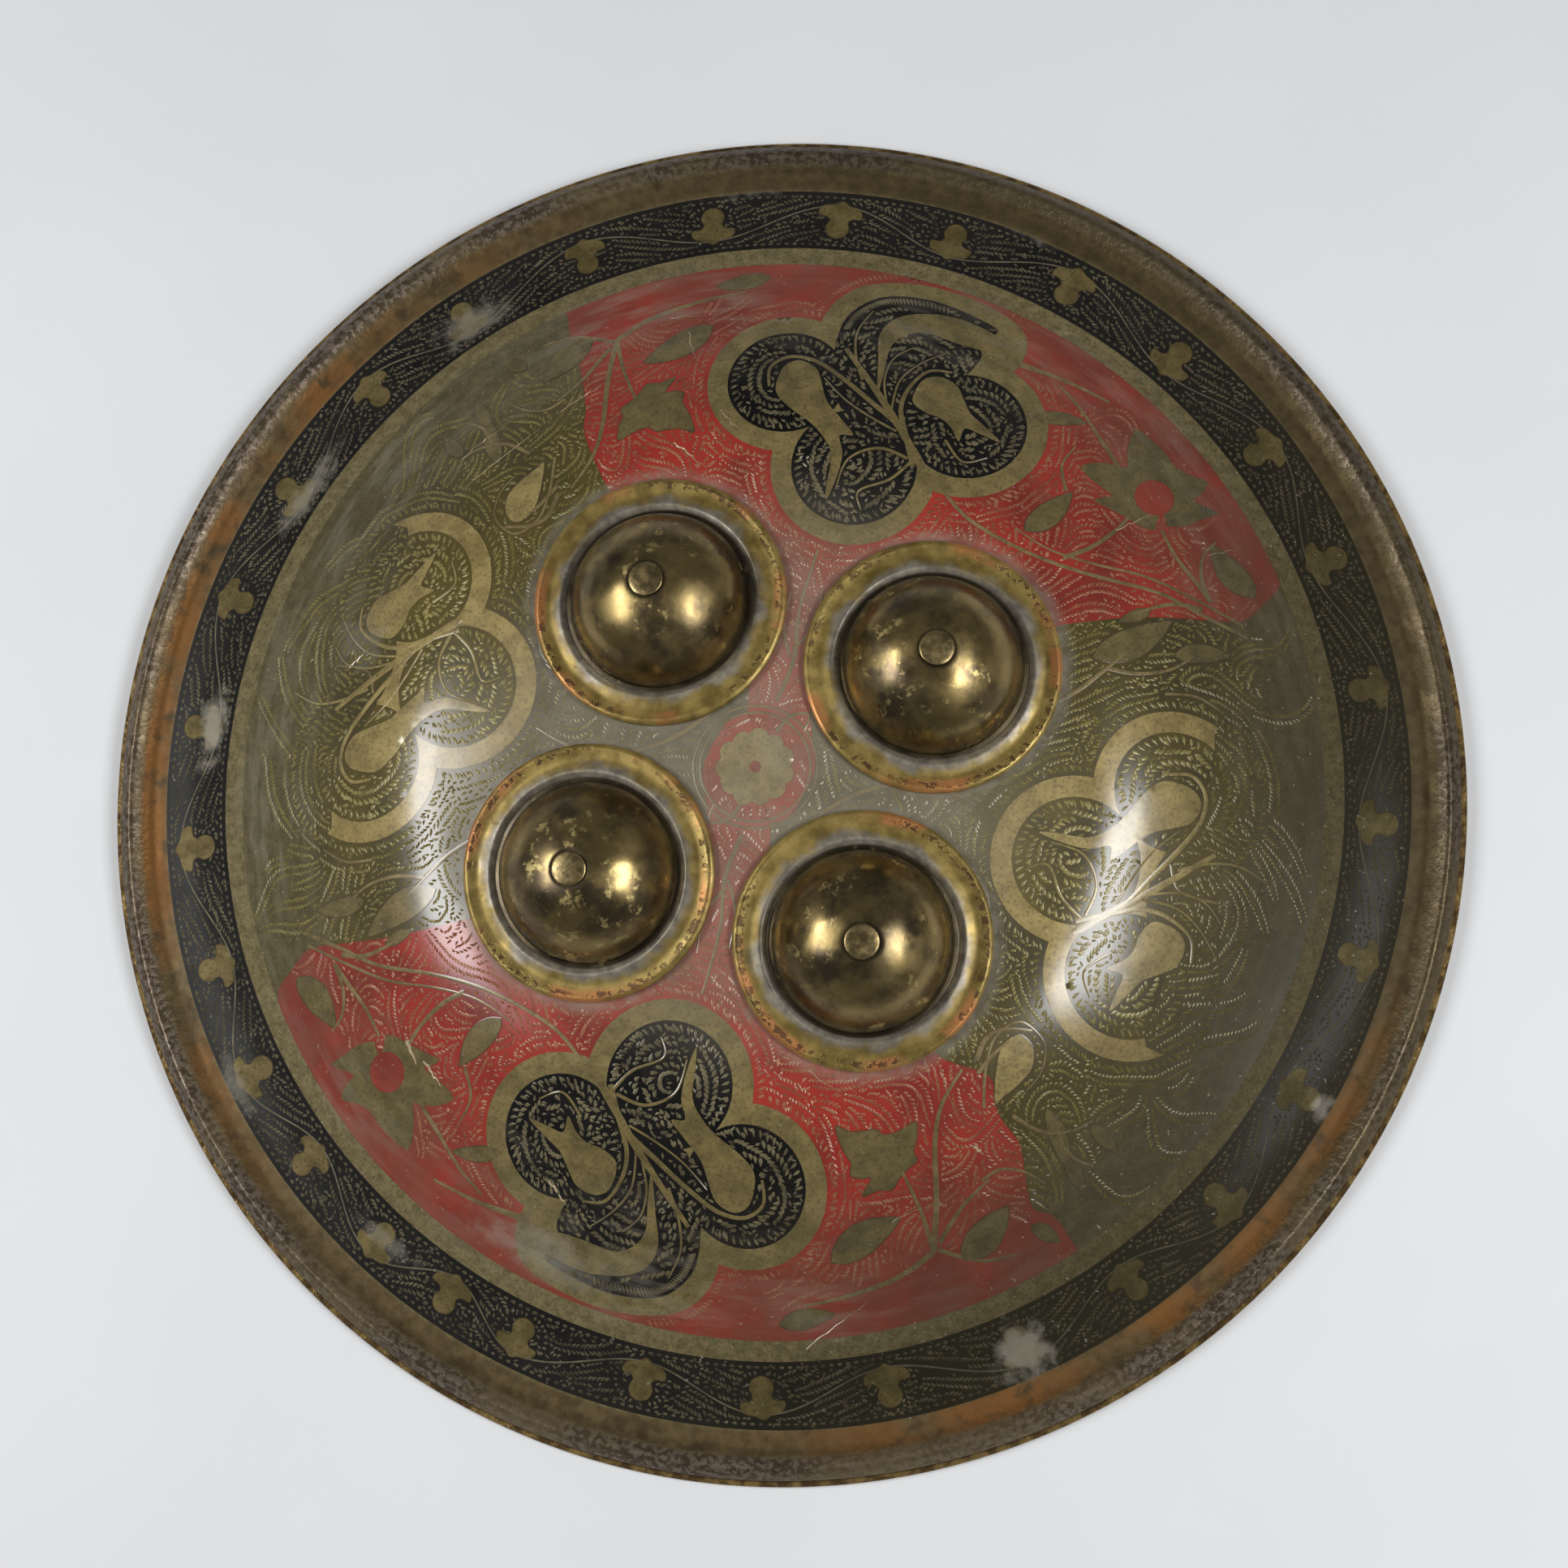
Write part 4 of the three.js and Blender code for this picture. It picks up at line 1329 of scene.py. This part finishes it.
def lay_ornament():
    """Draws every figure, fills the ground left between them with strokes, and makes the pieces."""
    lay_zones()
    red, black, olive, band, borders = lay_grounds()
    grooves = Body()
    leaves, stems = Layer(LEAF_TOP, 0.7, grooves), Layer(LEAF_TOP + 0.03, 0.35)
    relief, gilt, rosette = Layer(RELIEF_TOP, 0.45), Layer(RELIEF_TOP, 0.45), Layer(LEAF_TOP, 0.5, grooves)
    buds, vine = Layer(LEAF_TOP, 0.5, grooves), Layer(LEAF_TOP)
    draw_palmettes({BLACK: relief, OLIVE: gilt})
    draw_field(leaves, stems, rosette)
    draw_rosette(rosette, stems)
    draw_band(buds, vine)
    edge_strokes()
    for row in SPRIGS:
        fill_zone(*row)
    sprinkle(SPRINKLE_TRIES, fade)
    night = lacquer("black_lacquer", BLACK_DEEP, BLACK_GREY, BLACK_WORN, 0.05)
    red.make("red_lacquer", lacquer("red_lacquer", RED_DARK, RED_BRIGHT, RED_WORN))
    black.make("palmette_black", night)
    band.make("border_black", night)
    olive.make("palmette_green", lacquer("green_lacquer", GREEN_DARK, GREEN, OLIVE_BRASS))
    for body, name, dark, light in (
        (borders[BLACK], "rims_of_black", (104, 92, 52), (134, 118, 72)),
        (borders[OLIVE], "rims_of_green", (132, 114, 66), (160, 140, 86)),
        (relief.body, "palmette_relief", (96, 84, 48), (128, 112, 66)),
        (gilt.body, "green_palmette_relief", *GILT),
        (rosette.body, "rosette", *GILT),
        (grooves, "leaf_grooves", (66, 54, 34), (86, 72, 46)),
        (leaves.body, "field_leaves", (88, 77, 44), (116, 102, 60)),
        (stems.body, "field_stems", (104, 88, 54), (136, 118, 76)),
        (buds.body, "border_buds", (84, 74, 46), (112, 99, 64)),
        (vine.body, "border_vine", (84, 80, 66), (112, 106, 84)),
    ):
        body.make(name, bare_brass(name, dark, light))
    looks = {
        RED: ("strokes_red", (132, 66, 48), (162, 112, 80), FILM_TOP),
        GREEN_FIELD: ("strokes_green", (98, 88, 44), (134, 122, 70), 0),
        BLACK: ("strokes_black", (74, 68, 50), (120, 112, 84), GROUND_TOP),
        OLIVE: ("strokes_olive", (112, 102, 56), (150, 138, 86), GROUND_TOP),
        BAND: ("strokes_border", (62, 58, 45), (98, 92, 72), FILM_TOP),
    }
    draw_scratches()
    for kind, (name, dark, light, ground) in looks.items():
        make_strokes(name, strokes[kind], ground, bare_brass(name, dark, light, kind == BAND, 0.4))


lay_ornament()


# ---------------- stage, camera and light
def make_floor():
    mesh = bpy.data.meshes.new("floor")
    side = FLOOR_HALF
    corners = [(-side, -side, 0), (side, -side, 0), (side, side, 0), (-side, side, 0)]
    mesh.from_pydata(corners, [], [(0, 1, 2, 3)])
    mesh.materials.append(floor_paint())
    made = link("floor", mesh)


FLOOR_HALF = 6
VIEW_TILT = math.radians(9.891)
VIEW_AZIMUTH = math.radians(-41.83)
VIEW_UP = math.radians(104.507)
VIEW_TARGET = Vector((-0.00007, 0.00402, 0))
VIEW_DISTANCE = 0.9825
LENS = 82.5
LIGHT_TINT = (0.985, 0.99, 1)
ROOM_TINT = (0.315, 0.314, 0.312, 1)
ROOM_STRENGTH = 0.5
SOFTBOX_DISTANCE = 1.15


def view_axes():
    """Right, up and back of the picture."""
    sine = math.sin(VIEW_TILT)
    back = Vector((sine * math.cos(VIEW_AZIMUTH), sine * math.sin(VIEW_AZIMUTH), math.cos(VIEW_TILT)))
    right = Vector((math.cos(VIEW_UP), math.sin(VIEW_UP), 0)).cross(back).normalized()
    return right, back.cross(right), back


def aim(made, place, back, right):
    up = back.cross(right)
    made.matrix_world = Matrix.Translation(place) @ Matrix((right, up, back)).transposed().to_4x4()


def make_camera():
    data = bpy.data.cameras.new("camera")
    data.lens, data.sensor_width = LENS, 36
    camera = link("camera", data)
    right, _, back = view_axes()
    aim(camera, VIEW_TARGET + back * VIEW_DISTANCE, back, right)
    bpy.context.scene.camera = camera


def make_softbox(name, across, upward, forward, width, height, power):
    """An area light that faces the shield, placed along the picture's own axes."""
    data = bpy.data.lights.new(name, "AREA")
    data.shape, data.size, data.size_y = "RECTANGLE", width, height
    data.energy, data.color = power, LIGHT_TINT
    right, up, back = view_axes()
    away = (right * across + up * upward + back * forward).normalized()
    aim(link(name, data), away * SOFTBOX_DISTANCE, away, up.cross(away).normalized())


def make_world():
    world = bpy.data.worlds.new("room")
    world.use_nodes = True
    light = world.node_tree.nodes["Background"].inputs
    light[0].default_value, light[1].default_value = ROOM_TINT, ROOM_STRENGTH
    bpy.context.scene.world = world


make_floor()
make_camera()
make_softbox("softbox_left", -0.77, 0.08, 0.63, 0.34, 0.62, 7.8)
make_softbox("softbox_right", 0.60, -0.05, 0.80, 0.32, 0.60, 8.4)
make_world()
bpy.context.scene.view_settings.view_transform = "Standard"
